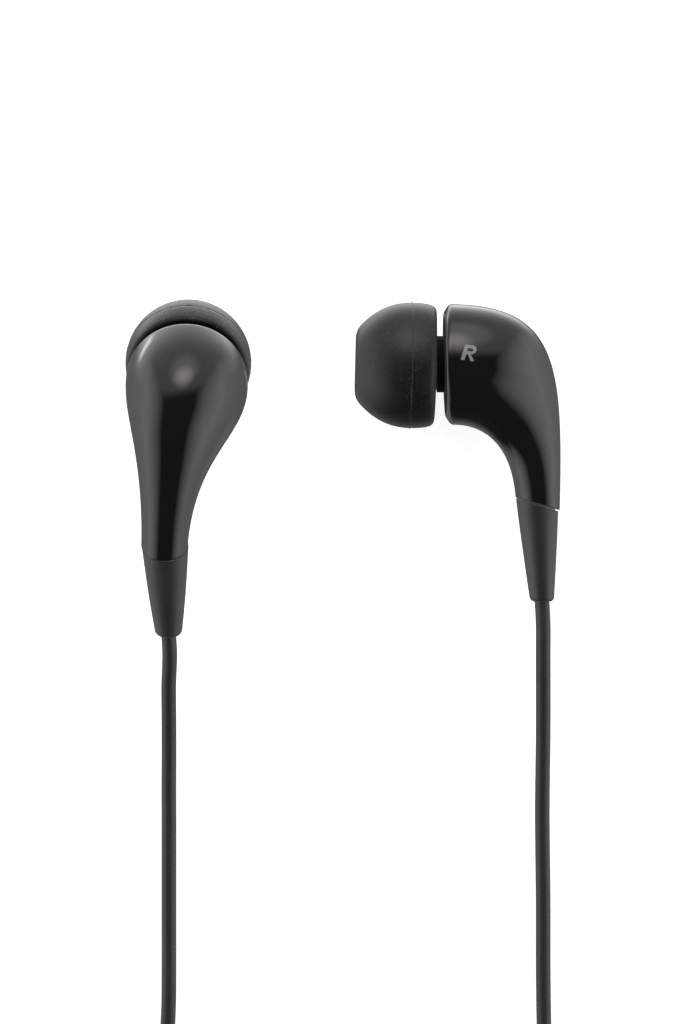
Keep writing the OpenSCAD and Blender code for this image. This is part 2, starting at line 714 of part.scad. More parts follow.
// Straight barrel with rounded ends and a shallow waist for the fingers
module plug_grip() {
    r = grip_d / 2;
    edge = 0.8;
    waist = 0.25;
    color(gloss) plug_piece(concat(
        [[0, boot_length]],
        [for (i = [0 : 4]) let (f = 22.5 * i)
            [r - edge * (1 - sin(f)), boot_length + edge * (1 - cos(f))]],
        arc_points([[r, boot_length + 2], [r - waist, boot_length + 4],
            [r - waist, grip_end - 4], [r, grip_end - 2]], 10),
        [for (i = [4 : -1 : 0]) let (f = 22.5 * i)
            [r - edge * (1 - sin(f)), grip_end - edge * (1 - cos(f))]],
        [[shank_d / 2 + fit, grip_end], [shank_d / 2 + fit, pin_root], [0, pin_root]]));
}

// Long contact, with a thinner shank held in the grip
module plug_sleeve() {
    color("#c9a24a") plug_piece([[sleeve_bore_r, pin_root], [shank_d / 2, pin_root],
        [shank_d / 2, grip_end + fit], [pin_d / 2, grip_end + fit],
        [pin_d / 2, sleeve_end], [sleeve_bore_r, sleeve_end]]);
}

module plug_ring() {
    tube_r = ring_tube_r + ring_tube_wall;
    ring_start = ring_end - ring_contact;
    color("#c9a24a") plug_piece([[ring_tube_r, pin_root + 1], [tube_r, pin_root + 1],
        [tube_r, ring_start], [pin_d / 2, ring_start], [pin_d / 2, ring_end],
        [ring_tube_r, ring_end]]);
}

// Pointed contact with a waist that the socket's spring drops into, on a thin core
module plug_tip() {
    from = pin_end - tip_contact;
    color("#c9a24a") plug_piece([[0, pin_root + 1], [core_d / 2, pin_root + 1],
        [core_d / 2, from], [pin_d / 2, from], [pin_d / 2, from + 0.6],
        [pin_d / 2 - 0.45, from + 1.2], [pin_d / 2 - 0.45, from + 1.5],
        [pin_d / 2 - 0.08, from + 2.1], [pin_d / 2 - 0.1, from + 2.4],
        [0.45, pin_end - 0.15], [0, pin_end]]);
}

// Tubes between the contacts, each with the black ring that shows outside
module plug_insulators() {
    for (tube = [[core_d / 2 + fit, ring_end], [outer_insulator_r, sleeve_end]]) {
        tube_r = tube[0] + insulator_wall;
        start = tube[1] + fit;
        end = tube[1] + insulator - fit;
        color("#1c1c1d") plug_piece([[tube[0], pin_root + 1], [tube_r, pin_root + 1],
            [tube_r, start], [pin_d / 2, start], [pin_d / 2, end], [tube[0], end]]);
    }
}

left() housing();  // left_housing
left() front_cap();  // left_front_cap
left() nozzle_mesh();  // left_nozzle_mesh
left() ear_tip();  // left_ear_tip
left() gasket();  // left_gasket
left() driver_cover();  // left_driver_cover
left() diaphragm();  // left_diaphragm
left() voice_coil();  // left_voice_coil
left() driver_frame();  // left_driver_frame
left() pole_plate();  // left_pole_plate
left() magnet();  // left_magnet
left() yoke();  // left_yoke
left() terminal_board();  // left_terminal_board
left() lead_wires();  // left_lead_wires
left() cord_end();  // left_cord_end
left() cord_stop();  // left_cord_stop
left() strain_relief();  // left_strain_relief
right() housing();  // right_housing
right() front_cap();  // right_front_cap
right() nozzle_mesh();  // right_nozzle_mesh
right() ear_tip();  // right_ear_tip
right() gasket();  // right_gasket
right() driver_cover();  // right_driver_cover
right() diaphragm();  // right_diaphragm
right() voice_coil();  // right_voice_coil
right() driver_frame();  // right_driver_frame
right() pole_plate();  // right_pole_plate
right() magnet();  // right_magnet
right() yoke();  // right_yoke
right() terminal_board();  // right_terminal_board
right() lead_wires();  // right_lead_wires
right() cord_end();  // right_cord_end
right() cord_stop();  // right_cord_stop
right() strain_relief();  // right_strain_relief
cord(left_route, branch_d);  // left_cord
coil(left_path, branch_d);  // left_coil
tie(left_coil_at, 45, branch_turns,  // left_coil_tie
    branch_layers, branch_coil_r, branch_pitch, branch_d);
cord(left_tail_route, branch_d);  // left_tail
cord(right_route, branch_d);  // right_cord
coil(right_path, branch_d);  // right_coil
tie(right_coil_at, 135, branch_turns,  // right_coil_tie
    branch_layers, branch_coil_r, branch_pitch, branch_d);
cord(right_tail_route, branch_d);  // right_tail
y_split();
cord(lead_route, trunk_d);  // trunk_lead
coil(trunk_path, trunk_d);  // trunk_coil
tie(trunk_coil_at, 135, trunk_turns,  // trunk_coil_tie
    trunk_layers, trunk_coil_r, trunk_pitch, trunk_d);
cord(tail_route, trunk_d);  // trunk_tail
plug_boot();
plug_grip();
plug_sleeve();
plug_ring();
plug_tip();
plug_insulators();
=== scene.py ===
# Wired in-ear earphones: shapes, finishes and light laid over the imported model.
from math import atan2, ceil, cos, exp, hypot, pi, radians, sin, tan, tau
import bpy
import bmesh
from mathutils import Matrix, Vector
from mathutils.bvhtree import BVHTree
from mathutils.geometry import tessellate_polygon


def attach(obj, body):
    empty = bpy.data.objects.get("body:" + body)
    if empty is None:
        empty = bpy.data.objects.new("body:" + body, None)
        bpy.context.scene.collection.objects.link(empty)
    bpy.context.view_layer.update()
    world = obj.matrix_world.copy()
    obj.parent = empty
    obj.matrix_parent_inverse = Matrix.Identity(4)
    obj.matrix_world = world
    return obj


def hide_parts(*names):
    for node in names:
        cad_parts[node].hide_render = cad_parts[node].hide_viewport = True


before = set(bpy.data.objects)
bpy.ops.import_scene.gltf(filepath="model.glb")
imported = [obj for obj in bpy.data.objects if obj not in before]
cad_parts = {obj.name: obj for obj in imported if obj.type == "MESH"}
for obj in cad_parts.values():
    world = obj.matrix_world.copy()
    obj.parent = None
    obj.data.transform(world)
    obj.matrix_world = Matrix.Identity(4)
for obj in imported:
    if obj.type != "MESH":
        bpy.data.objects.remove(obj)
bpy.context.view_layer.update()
scene = bpy.context.scene
scene.view_settings.view_transform = "Standard"
mm = 0.001
print("frame loaded,", len(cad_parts), "CAD nodes")


def addObject(name, data):
    made = bpy.data.objects.new(name, data)
    scene.collection.objects.link(made)
    return made


# The camera looks straight down on the pair
camera = dict(lens=120, sensor=36, focusHeight=6, centre=(-0.18, -4.43), longSide=102.4)


def makeCamera():
    data = bpy.data.cameras.new("camera")
    data.lens, data.sensor_width = camera["lens"], camera["sensor"]
    data.clip_start, data.clip_end = 0.01, 10
    away = camera["lens"] / camera["sensor"] * camera["longSide"]
    scene.camera = addObject("camera", data)
    scene.camera.location = [v * mm for v in (*camera["centre"], camera["focusHeight"] + away)]


makeCamera()

# Places of the two ears. Each is modelled once in millimetres: x runs back along the
# nozzle, y up and z away from the cheek. The left one is mirrored and rests on its tip.
pair = dict(pitch=radians(28), rightAt=(10.07, 10.34, 6.3), leftAt=(-15.42, 9.09, 9.232))
pitchCos, pitchSin = cos(pair["pitch"]), sin(pair["pitch"])
places = {
    "right": Matrix.Translation(pair["rightAt"]),
    "left": Matrix.Translation(pair["leftAt"]) @ Matrix(((0, 0, 1), (-pitchSin, pitchCos, 0),
                                                         (pitchCos, pitchSin, 0))).to_4x4()}


# Curves and outlines, in millimetres

def bezier(handles, t):
    a, b, c, d = (Vector(h) if hasattr(h, "__len__") else h for h in handles)
    u = 1 - t
    return u * u * u * a + 3 * u * u * t * b + 3 * u * t * t * c + t * t * t * d


def curveSteps(handles, n):
    return [bezier(handles, i / n) for i in range(n)]


def chain(*curves):
    return [p for handles, n in curves for p in curveSteps(handles, n)]


def circle(count):
    # cosine and sine at even steps round
    return [(cos(tau * k / count), sin(tau * k / count)) for k in range(count)]


def roundCorners(corners, steps=5):
    # each corner is (distance from axis, place along axis, radius of its rounding)
    outline = []
    for i, (r, x, radius) in enumerate(corners):
        here = Vector((r, x))
        before = Vector(corners[i - 1][:2]) - here
        after = Vector(corners[(i + 1) % len(corners)][:2]) - here
        half = before.angle(after) / 2
        if radius <= 0 or half > 1.5:
            outline.append(here)
            continue
        cut = min(radius / tan(half), 0.48 * before.length, 0.48 * after.length)
        before.normalize()
        after.normalize()
        centre = here + (before + after).normalized() * cut / cos(half)
        a, b = here + before * cut - centre, here + after * cut - centre
        angle = a.angle(b)
        for t in (s / steps for s in range(steps + 1)):
            outline.append(centre + (a * sin((1 - t) * angle) + b * sin(t * angle)) / sin(angle))
    return outline


def smoothPath(points, step):
    # an even run of points on a curve through the given ones
    points = [Vector(p) for p in points]
    ends = [2 * points[0] - points[1]] + points + [2 * points[-1] - points[-2]]
    fine = []
    for a, b, c, d in zip(ends, ends[1:], ends[2:], ends[3:]):
        parts = max(2, ceil((c - b).length / step))
        for t in (i / parts for i in range(parts)):
            fine.append(0.5 * (2 * b + (c - a) * t + (2 * a - 5 * b + 4 * c - d) * t * t
                               + (3 * b - a - 3 * c + d) * t * t * t))
    return fine + [points[-1]]


def lengthOf(points):
    return sum((b - a).length for a, b in zip(points, points[1:]))


# Meshes

weldWithin = 0.0005


def solidPiece(name, points, faces, place=None, sharp=40):
    # a closed piece from millimetre points, with its faces turned outwards
    mesh = bpy.data.meshes.new(name)
    mesh.from_pydata([tuple(p) for p in points], [], faces)
    form = bmesh.new()
    form.from_mesh(mesh)
    bmesh.ops.remove_doubles(form, verts=form.verts, dist=weldWithin)
    bmesh.ops.transform(form, matrix=Matrix.Scale(mm, 4) @ (place or Matrix.Identity(4)), verts=form.verts)
    bmesh.ops.recalc_face_normals(form, faces=form.faces)
    form.to_mesh(mesh)
    form.free()
    mesh.shade_smooth()
    mesh.set_sharp_from_angle(angle=radians(sharp))
    return addObject(name, mesh)


def loft(name, rings, place=None, closed=True, sharp=40):
    # skin over rings of points: closed joins the last ring to the first
    around, count = len(rings[0]), len(rings)
    faces = [(a * around + k, a * around + (k + 1) % around,
              (a + 1) % count * around + (k + 1) % around, (a + 1) % count * around + k)
             for a in range(count if closed else count - 1) for k in range(around)]
    return solidPiece(name, [p for ring in rings for p in ring], faces, place, sharp)


def turned(name, outline, place=None, around=128, sharp=40):
    # a lathe form round the x axis from points (distance from axis, place along axis)
    rings = [[(x, r * c, r * s) for c, s in circle(around)] for r, x in outline]
    return loft(name, rings, place, outline[0][0] > 0, sharp)


def dress(piece, material, slot, *nodes, body="earphones"):
    # finish, the CAD nodes that the piece stands for, and its body; the slot is not used
    piece.data.materials.clear()
    piece.data.materials.append(material)
    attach(piece, body)
    if nodes:
        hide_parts(*nodes)
    return piece


# Node trees

def outlet(source):
    # a socket as it is, or the first output that a node has in use
    source = getattr(source, "socket", source)
    if isinstance(source, bpy.types.NodeSocket):
        return source
    return next(o for o in source.outputs if o.enabled)


def feed(node, inputs):
    # inputs: the socket's name or number to a plain value, a socket, a node or a term
    for key, value in inputs.items():
        if isinstance(value, (Term, bpy.types.Node, bpy.types.NodeSocket)):
            node.id_data.links.new(outlet(value), node.inputs[key])
        else:
            node.inputs[key].default_value = value
    return node


def add(tree, kind, inputs=None, **settings):
    node = tree.nodes.new(kind)
    for key, value in settings.items():
        setattr(node, key, value)
    return feed(node, inputs or {})


def calc(operation, *values):
    tree = next(v.socket.id_data for v in values if isinstance(v, Term))
    return Term(add(tree, "ShaderNodeMath", dict(enumerate(values)), operation=operation))


class Term:
    # a number in a node tree, which is reckoned with like any other
    def __init__(self, source):
        self.socket = outlet(source)

    __add__ = lambda a, b: calc("ADD", a, b)
    __sub__ = lambda a, b: calc("SUBTRACT", a, b)
    __rsub__ = lambda a, b: calc("SUBTRACT", b, a)
    __mul__ = lambda a, b: calc("MULTIPLY", a, b)
    __truediv__ = lambda a, b: calc("DIVIDE", a, b)
    __neg__ = lambda a: calc("MULTIPLY", a, -1.0)
    __abs__ = lambda a: calc("ABSOLUTE", a)

    def ramp(self, top, start, end, kind="LINEAR"):
        # rises from 0 to the top between start and end
        limits = {"Value": self, "From Min": start, "From Max": end, "To Min": 0.0, "To Max": top}
        return Term(add(self.socket.id_data, "ShaderNodeMapRange", limits, interpolation_type=kind))

    def soft(self, top, start, end):
        return self.ramp(top, start, end, "SMOOTHSTEP")


def newGroup(name, treeType, inputs, outputs):
    # inputs and outputs: each socket's name to its plain value, or to its type
    tree = bpy.data.node_groups.new(name, treeType)
    for side, sockets in (("INPUT", inputs), ("OUTPUT", outputs)):
        for label, value in sockets.items():
            plain = isinstance(value, float)
            kind = "NodeSocket" + ("Float" if plain else value)
            socket = tree.interface.new_socket(label, in_out=side, socket_type=kind)
            if plain:
                socket.default_value = value
    return tree, tree.nodes.new("NodeGroupInput").outputs


# Shader groups that every finish shares

def makeGrainGroup():
    # fine moulded grain: height for a bump, and a mask of its peaks
    tree, given = newGroup("mouldedGrain", "ShaderNodeTree", {"Vector": "Vector", "Scale": 4000.0,
        "Roughness": 0.6}, {"Height": "Float", "Mask": "Float"})
    noise = add(tree, "ShaderNodeTexNoise", {"Vector": given["Vector"], "Scale": given["Scale"],
        "Roughness": given["Roughness"], "Detail": 4.0})
    add(tree, "NodeGroupOutput", {"Height": noise, "Mask": Term(noise).soft(1.0, 0.56, 0.78)})
    return tree


def makeDriftGroup():
    # slow change between two near colours, as in real batches of plastic and rubber
    tree, given = newGroup("colourDrift", "ShaderNodeTree", {"Vector": "Vector", "Scale": 200.0,
        "Colour A": "Color", "Colour B": "Color"}, {"Colour": "Color"})
    noise = add(tree, "ShaderNodeTexNoise", {"Vector": given["Vector"], "Scale": given["Scale"],
        "Detail": 3.0, "Roughness": 0.55})
    blend = add(tree, "ShaderNodeMix", {"Factor": Term(noise).ramp(1.0, 0.35, 0.65), "A": given["Colour A"],
        "B": given["Colour B"]}, data_type="RGBA")
    add(tree, "NodeGroupOutput", {"Colour": blend})
    return tree


def makeHazeGroup():
    # roughness that rises in faint wiped streaks and specks, from handling
    tree, given = newGroup("handlingHaze", "ShaderNodeTree", {"Vector": "Vector", "Scale": 300.0,
        "Base": 0.1, "Amount": 0.05}, {"Roughness": "Float"})
    stretch = add(tree, "ShaderNodeVectorMath", {0: given["Vector"], 1: (1.0, 0.35, 0.7)},
        operation="MULTIPLY")
    streaks = add(tree, "ShaderNodeTexNoise", {"Vector": stretch, "Scale": given["Scale"], "Detail": 6.0,
        "Roughness": 0.7, "Distortion": 0.6})
    wiped = Term(streaks).ramp(1.0, 0.4, 0.75)
    add(tree, "NodeGroupOutput", {"Roughness": wiped * given["Amount"] + given["Base"]})
    return tree


grainGroup, driftGroup, hazeGroup = makeGrainGroup(), makeDriftGroup(), makeHazeGroup()
# near-black used for painted shade in gaps
paintedShadeColour = (0.001, 0.001, 0.001, 1)


def finish(name, colour, colourB, roughness, haze=0.05, hazeScale=400, driftScale=180, grainScale=4000,
           bump=0.1, depth=0.00004, fleck=0.0, fleckColour=(0.3, 0.3, 0.3), shade=None, shader=None):
    # one Principled material, with the shader's own plain values in the last argument
    material = bpy.data.materials.new(name)
    material.use_nodes = True
    tree = material.node_tree
    coords = add(tree, "ShaderNodeTexCoord").outputs["Object"]

    def group(shared, inputs):
        return add(tree, "ShaderNodeGroup", {"Vector": coords, **inputs}, node_tree=shared)

    def mix(factor, a, b):
        return add(tree, "ShaderNodeMix", {"Factor": factor, "A": a, "B": b}, data_type="RGBA")

    drift = group(driftGroup, {"Scale": driftScale, "Colour A": (*colour, 1), "Colour B": (*colourB, 1)})
    grain = group(grainGroup, {"Scale": grainScale})
    inputs = {
        "Base Color": mix(Term(grain.outputs["Mask"]) * fleck, drift, (*fleckColour, 1)),
        "Roughness": group(hazeGroup, {"Scale": hazeScale, "Base": roughness, "Amount": haze}),
        "Normal": add(tree, "ShaderNodeBump", {
            "Height": grain.outputs["Height"], "Strength": bump, "Distance": depth}), **(shader or {})}
    if shade:
        # painted shade: darker and without its glossy coat where the piece's own attribute says it turns into
        # a gap
        inputs["Coat Weight"] = add(tree, "ShaderNodeAttribute", attribute_name=shade).outputs["Fac"]
        inputs["Base Color"] = mix(inputs["Coat Weight"], paintedShadeColour, inputs["Base Color"])
    feed(tree.nodes["Principled BSDF"], inputs)
    return material


glossBlack = finish("glossBlackPlastic", (0.004, 0.0042, 0.004), (0.0055, 0.0055, 0.005), roughness=0.04,
    haze=0.06, hazeScale=160, grainScale=700, bump=0.02, depth=0.00002, shader={"IOR": 1.5})
# both tips are painted darker, without coat, inside and towards the skirt's rear edge, by the attribute that
# their shade names
tipSilicone = finish("tipSilicone", (0.0035, 0.0037, 0.0045), (0.006, 0.0062, 0.007), roughness=0.36,
    haze=0.1, driftScale=420, grainScale=4200, bump=0.7, depth=0.00006, fleck=0.5,
    fleckColour=(0.09, 0.09, 0.09), shade="paintedLitShare", shader={"Sheen Weight": 0.05, "Sheen Roughness": 0.3,
    "IOR": 1.08, "Coat Roughness": 0.43, "Coat IOR": 1.4})
# the left one is lighter than the right, with more sheen and more, paler specks
tipSiliconeLeft = finish("tipSiliconeLeft", (0.005, 0.005, 0.0052), (0.0085, 0.0085, 0.0086), roughness=0.4, haze=0.14,
    driftScale=420, grainScale=3600, bump=1.1, depth=0.00008, fleck=0.85, fleckColour=(0.19, 0.187, 0.178),
    shade="paintedLitShare", shader={"Sheen Weight": 0.13, "Sheen Roughness": 0.22, "IOR": 1.08,
    "Coat Roughness": 0.42, "Coat IOR": 1.48})
reliefRubber = finish("reliefRubber", (0.012, 0.0122, 0.0118), (0.017, 0.017, 0.016), roughness=0.42,
    haze=0.12, grainScale=6000, bump=0.25, fleck=0.12, fleckColour=(0.06, 0.06, 0.06),
    shader={"Sheen Weight": 0.1, "IOR": 1.48})
cordJacket = finish("cordJacket", (0.015, 0.0148, 0.0125), (0.021, 0.0205, 0.017), roughness=0.44, haze=0.12,
    driftScale=90, grainScale=5000, bump=0.2, shader={"Sheen Weight": 0.02, "IOR": 1.44})
tieRubber = finish("tieRubber", (0.014, 0.014, 0.015), (0.019, 0.019, 0.02), roughness=0.5, haze=0.15,
    grainScale=4500, bump=0.3, shader={"IOR": 1.45})
contactGold = finish("contactGold", (0.78, 0.55, 0.24), (0.7, 0.48, 0.2), roughness=0.14, haze=0.12,
    grainScale=3000, bump=0.05, depth=0.00002, shader={"Metallic": 1.0})
insulatorBlack = finish("insulatorBlack", (0.012, 0.012, 0.012), (0.018, 0.018, 0.018), roughness=0.35,
    shader={"IOR": 1.5})
capSatin = finish("capSatin", (0.003, 0.003, 0.0022), (0.006, 0.005, 0.0035), roughness=0.7, haze=0.2,
    driftScale=900, grainScale=3000, bump=0.4, depth=0.00005, shader={"IOR": 1.15})
meshSteel = finish("meshSteel", (0.32, 0.32, 0.33), (0.24, 0.24, 0.25), roughness=0.3, haze=0.15,
    shader={"Metallic": 1.0})
markInk = finish("markInk", (0.165, 0.18, 0.187), (0.2, 0.212, 0.218), roughness=0.5, haze=0.1,
    grainScale=9000, bump=0.15)
print("finishes made")


# Geometry node trees

def newTree(name, **inputs):
    tree, given = newGroup(name, "GeometryNodeTree", {"Geometry": "Geometry", **inputs,
        "Material": "Material"}, {"Geometry": "Geometry"})
    tree.is_modifier = True
    return tree, given


def closeTree(tree, given, geometry):
    real = add(tree, "GeometryNodeRealizeInstances", {"Geometry": geometry})
    painted = add(tree, "GeometryNodeSetMaterial", {"Geometry": real, "Material": given["Material"]})
    add(tree, "NodeGroupOutput", {"Geometry": painted})
    return tree


def keep(tree, geometry, name, value, kind="FLOAT", domain="POINT"):
    return add(tree, "GeometryNodeStoreNamedAttribute", {"Geometry": geometry, "Name": name, "Value": value},
        data_type=kind, domain=domain)


def recall(tree, name):
    return add(tree, "GeometryNodeInputNamedAttribute", {"Name": name}, data_type="FLOAT")


def grow(name, points, tree, inputs, place=None):
    # runs a tree on a wire of millimetre points and keeps the result as a plain mesh
    wire = bpy.data.meshes.new(name + "Wire")
    wire.from_pydata([tuple(p) for p in points], [(i, i + 1) for i in range(len(points) - 1)], [])
    source = addObject(name + "Wire", wire)
    modifier = source.modifiers.new("grow", "NODES")
    modifier.node_group = tree
    for item in tree.interface.items_tree:
        if item.name in inputs:
            modifier[item.identifier] = inputs[item.name]
    mesh = bpy.data.meshes.new_from_object(source.evaluated_get(bpy.context.evaluated_depsgraph_get()))
    mesh.name = name
    bpy.data.objects.remove(source)
    mesh.transform(Matrix.Scale(mm, 4) @ (place or Matrix.Identity(4)))
    return addObject(name, mesh)


def makeCordTree():
    # a round tube along the wire, with its length and girth kept as a UV map in metres
    tree, given = newTree("roundCord", Diameter="Float", Sides="Int")
    line = add(tree, "GeometryNodeMeshToCurve", {"Mesh": given["Geometry"]})
    ring = add(tree, "GeometryNodeCurvePrimitiveCircle", {"Radius": Term(given["Diameter"]) * 0.5,
        "Resolution": given["Sides"]})
    along, girth = (keep(tree, curve, name, add(tree, "GeometryNodeSplineParameter").outputs["Length"])
                    for curve, name in ((line, "along"), (ring, "girth")))
    tube = add(tree, "GeometryNodeCurveToMesh", {"Curve": along, "Profile Curve": girth, "Fill Caps": True})
    joined = add(tree, "ShaderNodeCombineXYZ", {"X": recall(tree, "along"), "Y": recall(tree, "girth")})
    metres = add(tree, "ShaderNodeVectorMath", {0: joined, "Scale": mm}, operation="SCALE")
    mapped = keep(tree, tube, "UVMap", metres, "FLOAT2", "CORNER")
    return closeTree(tree, given, add(tree, "GeometryNodeSetShadeSmooth", {"Geometry": mapped}))


cordTree = makeCordTree()


# The shape that both ears share

housing = dict(frontRadius=6, wall=0.85, seamX=0.16, rimDepth=0.79, depth=11.75, stemDrop=14.6,
    stemDepth=4.45, stemWidth=4.6, seamRise=1.3, stemBow=2.15, around=128, steps=84, rimSteps=12,
    insideSteps=24, foot=[(0.005, 0), (0.0022, 0.01), (0.0006, 0.05), (0, 0.12)])
relief = dict(length=9.7, lean=(0.43, 0.2), endDepth=2.4, endWidth=2.65, stepIn=0.1, seam=0.12,
    endRound=0.45, shift=(-0.06, 0, 0.07), swell=0.07, neckDiameter=2.6, neck=0.75, bore=1.6,
    lip=dict(sides=0.1, rear=0.35, front=0.05), around=96, steps=40)
# how far in from the full radius the front edge starts, as (depth, inset), at the sides and at the top
rimShape = dict(
    sides=[(0.16, 0.7), (0.36, 0.5), (0.47, 0), (0.95, 0)],
    top=[(0.16, 0.25), (0.16, 0.05), (0.23, 0), (0.95, 0)], sharp=dict(left=0, right=1), hang=0.06)

front, depth, bow = housing["frontRadius"], housing["depth"], housing["stemBow"]
bodyX, bodyFoot = housing["seamX"] + housing["rimDepth"], -front - rimShape["hang"]
stemFront = Vector((depth - housing["stemDepth"], housing["seamRise"] - housing["stemDrop"]))
stemRear = Vector((depth, -housing["stemDrop"]))
# handles of the four cubic curves that every section of the housing lies on
rails = {
    "outer": [(bodyX, front), (0.988 * depth, 0.96 * front), (1.025 * depth, -0.024 * front), stemRear],
    "inner": [(bodyX, bodyFoot), (bodyX + 3.05, bodyFoot), (stemFront.x - 0.48, -1.317 * front), stemFront],
    "width": [front, 1.063 * front, 0.42 * front, housing["stemWidth"] / 2],
    "bow": [0, 0.16 * bow, -0.66 * bow, -bow]}
reliefTop = Vector((*(stemFront + stemRear) / 2, -bow)) - Vector((0, relief["seam"], 0))
reliefEnd = reliefTop + Vector((relief["lean"][0], -relief["length"], relief["lean"][1]))
reliefWay = (reliefEnd - reliefTop).normalized()


# Cords

cords = dict(
    branch=1.5, trunk=2.0, air=0.45, jacketSides=28, step=0.6, straightOut=2.5, turnSteps=48,
    leftRoute=[
        (-17.5, -22, 4.2), (-17.55, -25.5, 2.75), (-17.6, -29, 1.6), (-17.65, -32.5, 0.95),
        (-17.65, -36, 0.75), (-17.65, -40.5, 0.75), (-17.65, -45, 0.75), (-17.65, -50, 0.75),
        (-17.7, -55, 0.75), (-18, -58.5, 0.8), (-19, -61.6, 0.9), (-20.3, -64, 1.05), (-21.3, -66, 1.2),
        (-21.6, -67.5, 1.3)],
    rightRoute=[
        (20.15, -19.5, 4.1), (20.2, -23, 3.4), (20.25, -27, 2.4), (20.25, -31, 1.5), (20.25, -35, 0.9),
        (20.3, -39.5, 0.75), (20.35, -44.5, 0.75), (20.35, -50, 0.75), (20.4, -55, 0.75), (20.5, -58.5, 0.8),
        (20.8, -61.6, 0.9), (21.2, -64, 1.05), (21.5, -66, 1.2), (21.6, -67.5, 1.3)],
    leftTail=[
        (-7.8, -80.3, 3.25), (-5, -80.8, 3.05), (-2.8, -82.3, 2.75), (-1.6, -84.2, 2.6), (-1.1, -86.2, 2.6),
        (-1.1, -88, 2.6)],
    trunkRoute=[
        (0, -101, 2.6), (0, -103.2, 2.6), (1, -105.9, 2.4), (4, -108.9, 2.1), (7.5, -111.3, 1.8),
        (9.7, -114.2, 1.6), (10.2, -117, 1.55)],
    trunkTail=[
        (-0.6, -105.7, 8.9), (3, -105.7, 8.5), (7, -105.8, 7.5), (11, -106.9, 6.1), (14, -109.6, 4.7),
        (15.4, -113.2, 3.7), (15.6, -116.5, 3.4), (15.6, -119, 3.4)])
branchCoil = dict(turns=4.25, layers=2, radius=10.3, cord="branch")
coils = {
    "left": dict(branchCoil, at=(-11.3, -70, 1.3), start=180, way=1,
                 nodes=("left_cord", "left_coil", "left_tail")),
    "right": dict(branchCoil, at=(11.3, -70, 1.3), start=0, way=-1,
                  nodes=("right_cord", "right_coil", "right_tail")),
    "trunk": dict(turns=11.75, layers=4, radius=15.3, cord="trunk", at=(-5.1, -121, 1.55), start=0, way=-1,
                  nodes=("trunk_lead", "trunk_coil", "trunk_tail"))}


def coilPath(coil):
    # spirals in and out again, and climbs a layer in the half turn where it reverses
    diameter = cords[coil["cord"]]
    pitch, leg, start = diameter + cords["air"], coil["turns"] / coil["layers"], radians(coil["start"])
    count = round(coil["turns"] * cords["turnSteps"])
    path = []
    for t in (coil["turns"] * i / count for i in range(count + 1)):
        m = t / leg % 2
        radius = coil["radius"] - pitch * leg * (m if m <= 1 else 2 - m)
        angle = start + coil["way"] * tau * t
        climbed = sum(min(1, max(0, 2 * (t - n * leg) + 0.5)) for n in range(1, coil["layers"]))
        path.append(Vector(coil["at"]) + Vector((radius * cos(angle), radius * sin(angle), pitch * climbed)))
    ends = (start, start + coil["way"] * tau * coil["turns"])
    ways = [coil["way"] * Vector((-sin(a), cos(a), 0)) for a in ends]
    return [path[0] - diameter * ways[0]] + path + [path[-1] + diameter * ways[1]]


def layCord(name, before, after):
    # one run of cord: the way to its coil, the coil, and the way on
    coil, diameter, step = coilPath(coils[name]), cords[coils[name]["cord"]], cords["step"]
    way = smoothPath([*before, coil[0]], step) + coil[1:-1] + smoothPath([coil[-1], *after], step)
    piece = grow(name + "Cord", way, cordTree, {"Diameter": diameter, "Sides": cords["jacketSides"],
        "Material": cordJacket})
    dress(piece, cordJacket, "cord_jacket", *coils[name]["nodes"])
    piece.visible_glossy = False
    print(name, "cord laid,", round(lengthOf(way)), "mm")


def layAllCords(plugPieces):
    starts = {}
    for side, place in places.items():
        start = place @ reliefEnd
        starts[side] = [start, start + cords["straightOut"] * (place.to_3x3() @ reliefWay)]
    tail = cords["leftTail"]
    layCord("left", starts["left"] + cords["leftRoute"], tail)
    layCord("right", starts["right"] + cords["rightRoute"], [(-x, y, z) for x, y, z in tail])
    layCord("trunk", cords["trunkRoute"], cords["trunkTail"])


# Ties, splitter and plug, which sit on the cords

tie = dict(width=3, thickness=0.5, edge=0.15, slip=0.05, spare=0.6, cornerRadius=0.7, ribPitch=0.5,
    ribLength=2.3, ribDiameter=0.22, ribSunk=0.02, angles=dict(left=45, right=135, trunk=135))


def makeRibTree():
    # small round ribs laid across a wire
    tree, given = newTree("tieRibs", Pitch="Float", Length="Float", Diameter="Float")
    line = add(tree, "GeometryNodeMeshToCurve", {"Mesh": given["Geometry"]})
    spots = add(tree, "GeometryNodeResampleCurve", {"Curve": line, "Length": given["Pitch"]}, mode="LENGTH")
    rib = add(tree, "GeometryNodeMeshCylinder", {"Radius": Term(given["Diameter"]) * 0.5,
        "Depth": given["Length"], "Vertices": 8, "Side Segments": 1})
    turn = add(tree, "FunctionNodeEulerToRotation", {"Euler": (pi / 2, 0, 0)})
    return closeTree(tree, given, add(tree, "GeometryNodeInstanceOnPoints", {
        "Points": spots, "Instance": rib, "Rotation": turn}))


ribTree = makeRibTree()


def roundedBox(width, height, radius, steps=8):
    # a rectangle with round corners as a closed run of (x, z)
    loop = []
    for cornerX, cornerZ, turn in ((1, 1, 0), (-1, 1, 90), (-1, -1, 180), (1, -1, 270)):
        for a in (radians(turn + 90 * i / steps) for i in range(steps + 1)):
            loop.append((cornerX * (width / 2 - radius) + radius * cos(a),
                         cornerZ * (height / 2 - radius) + radius * sin(a)))
    return loop


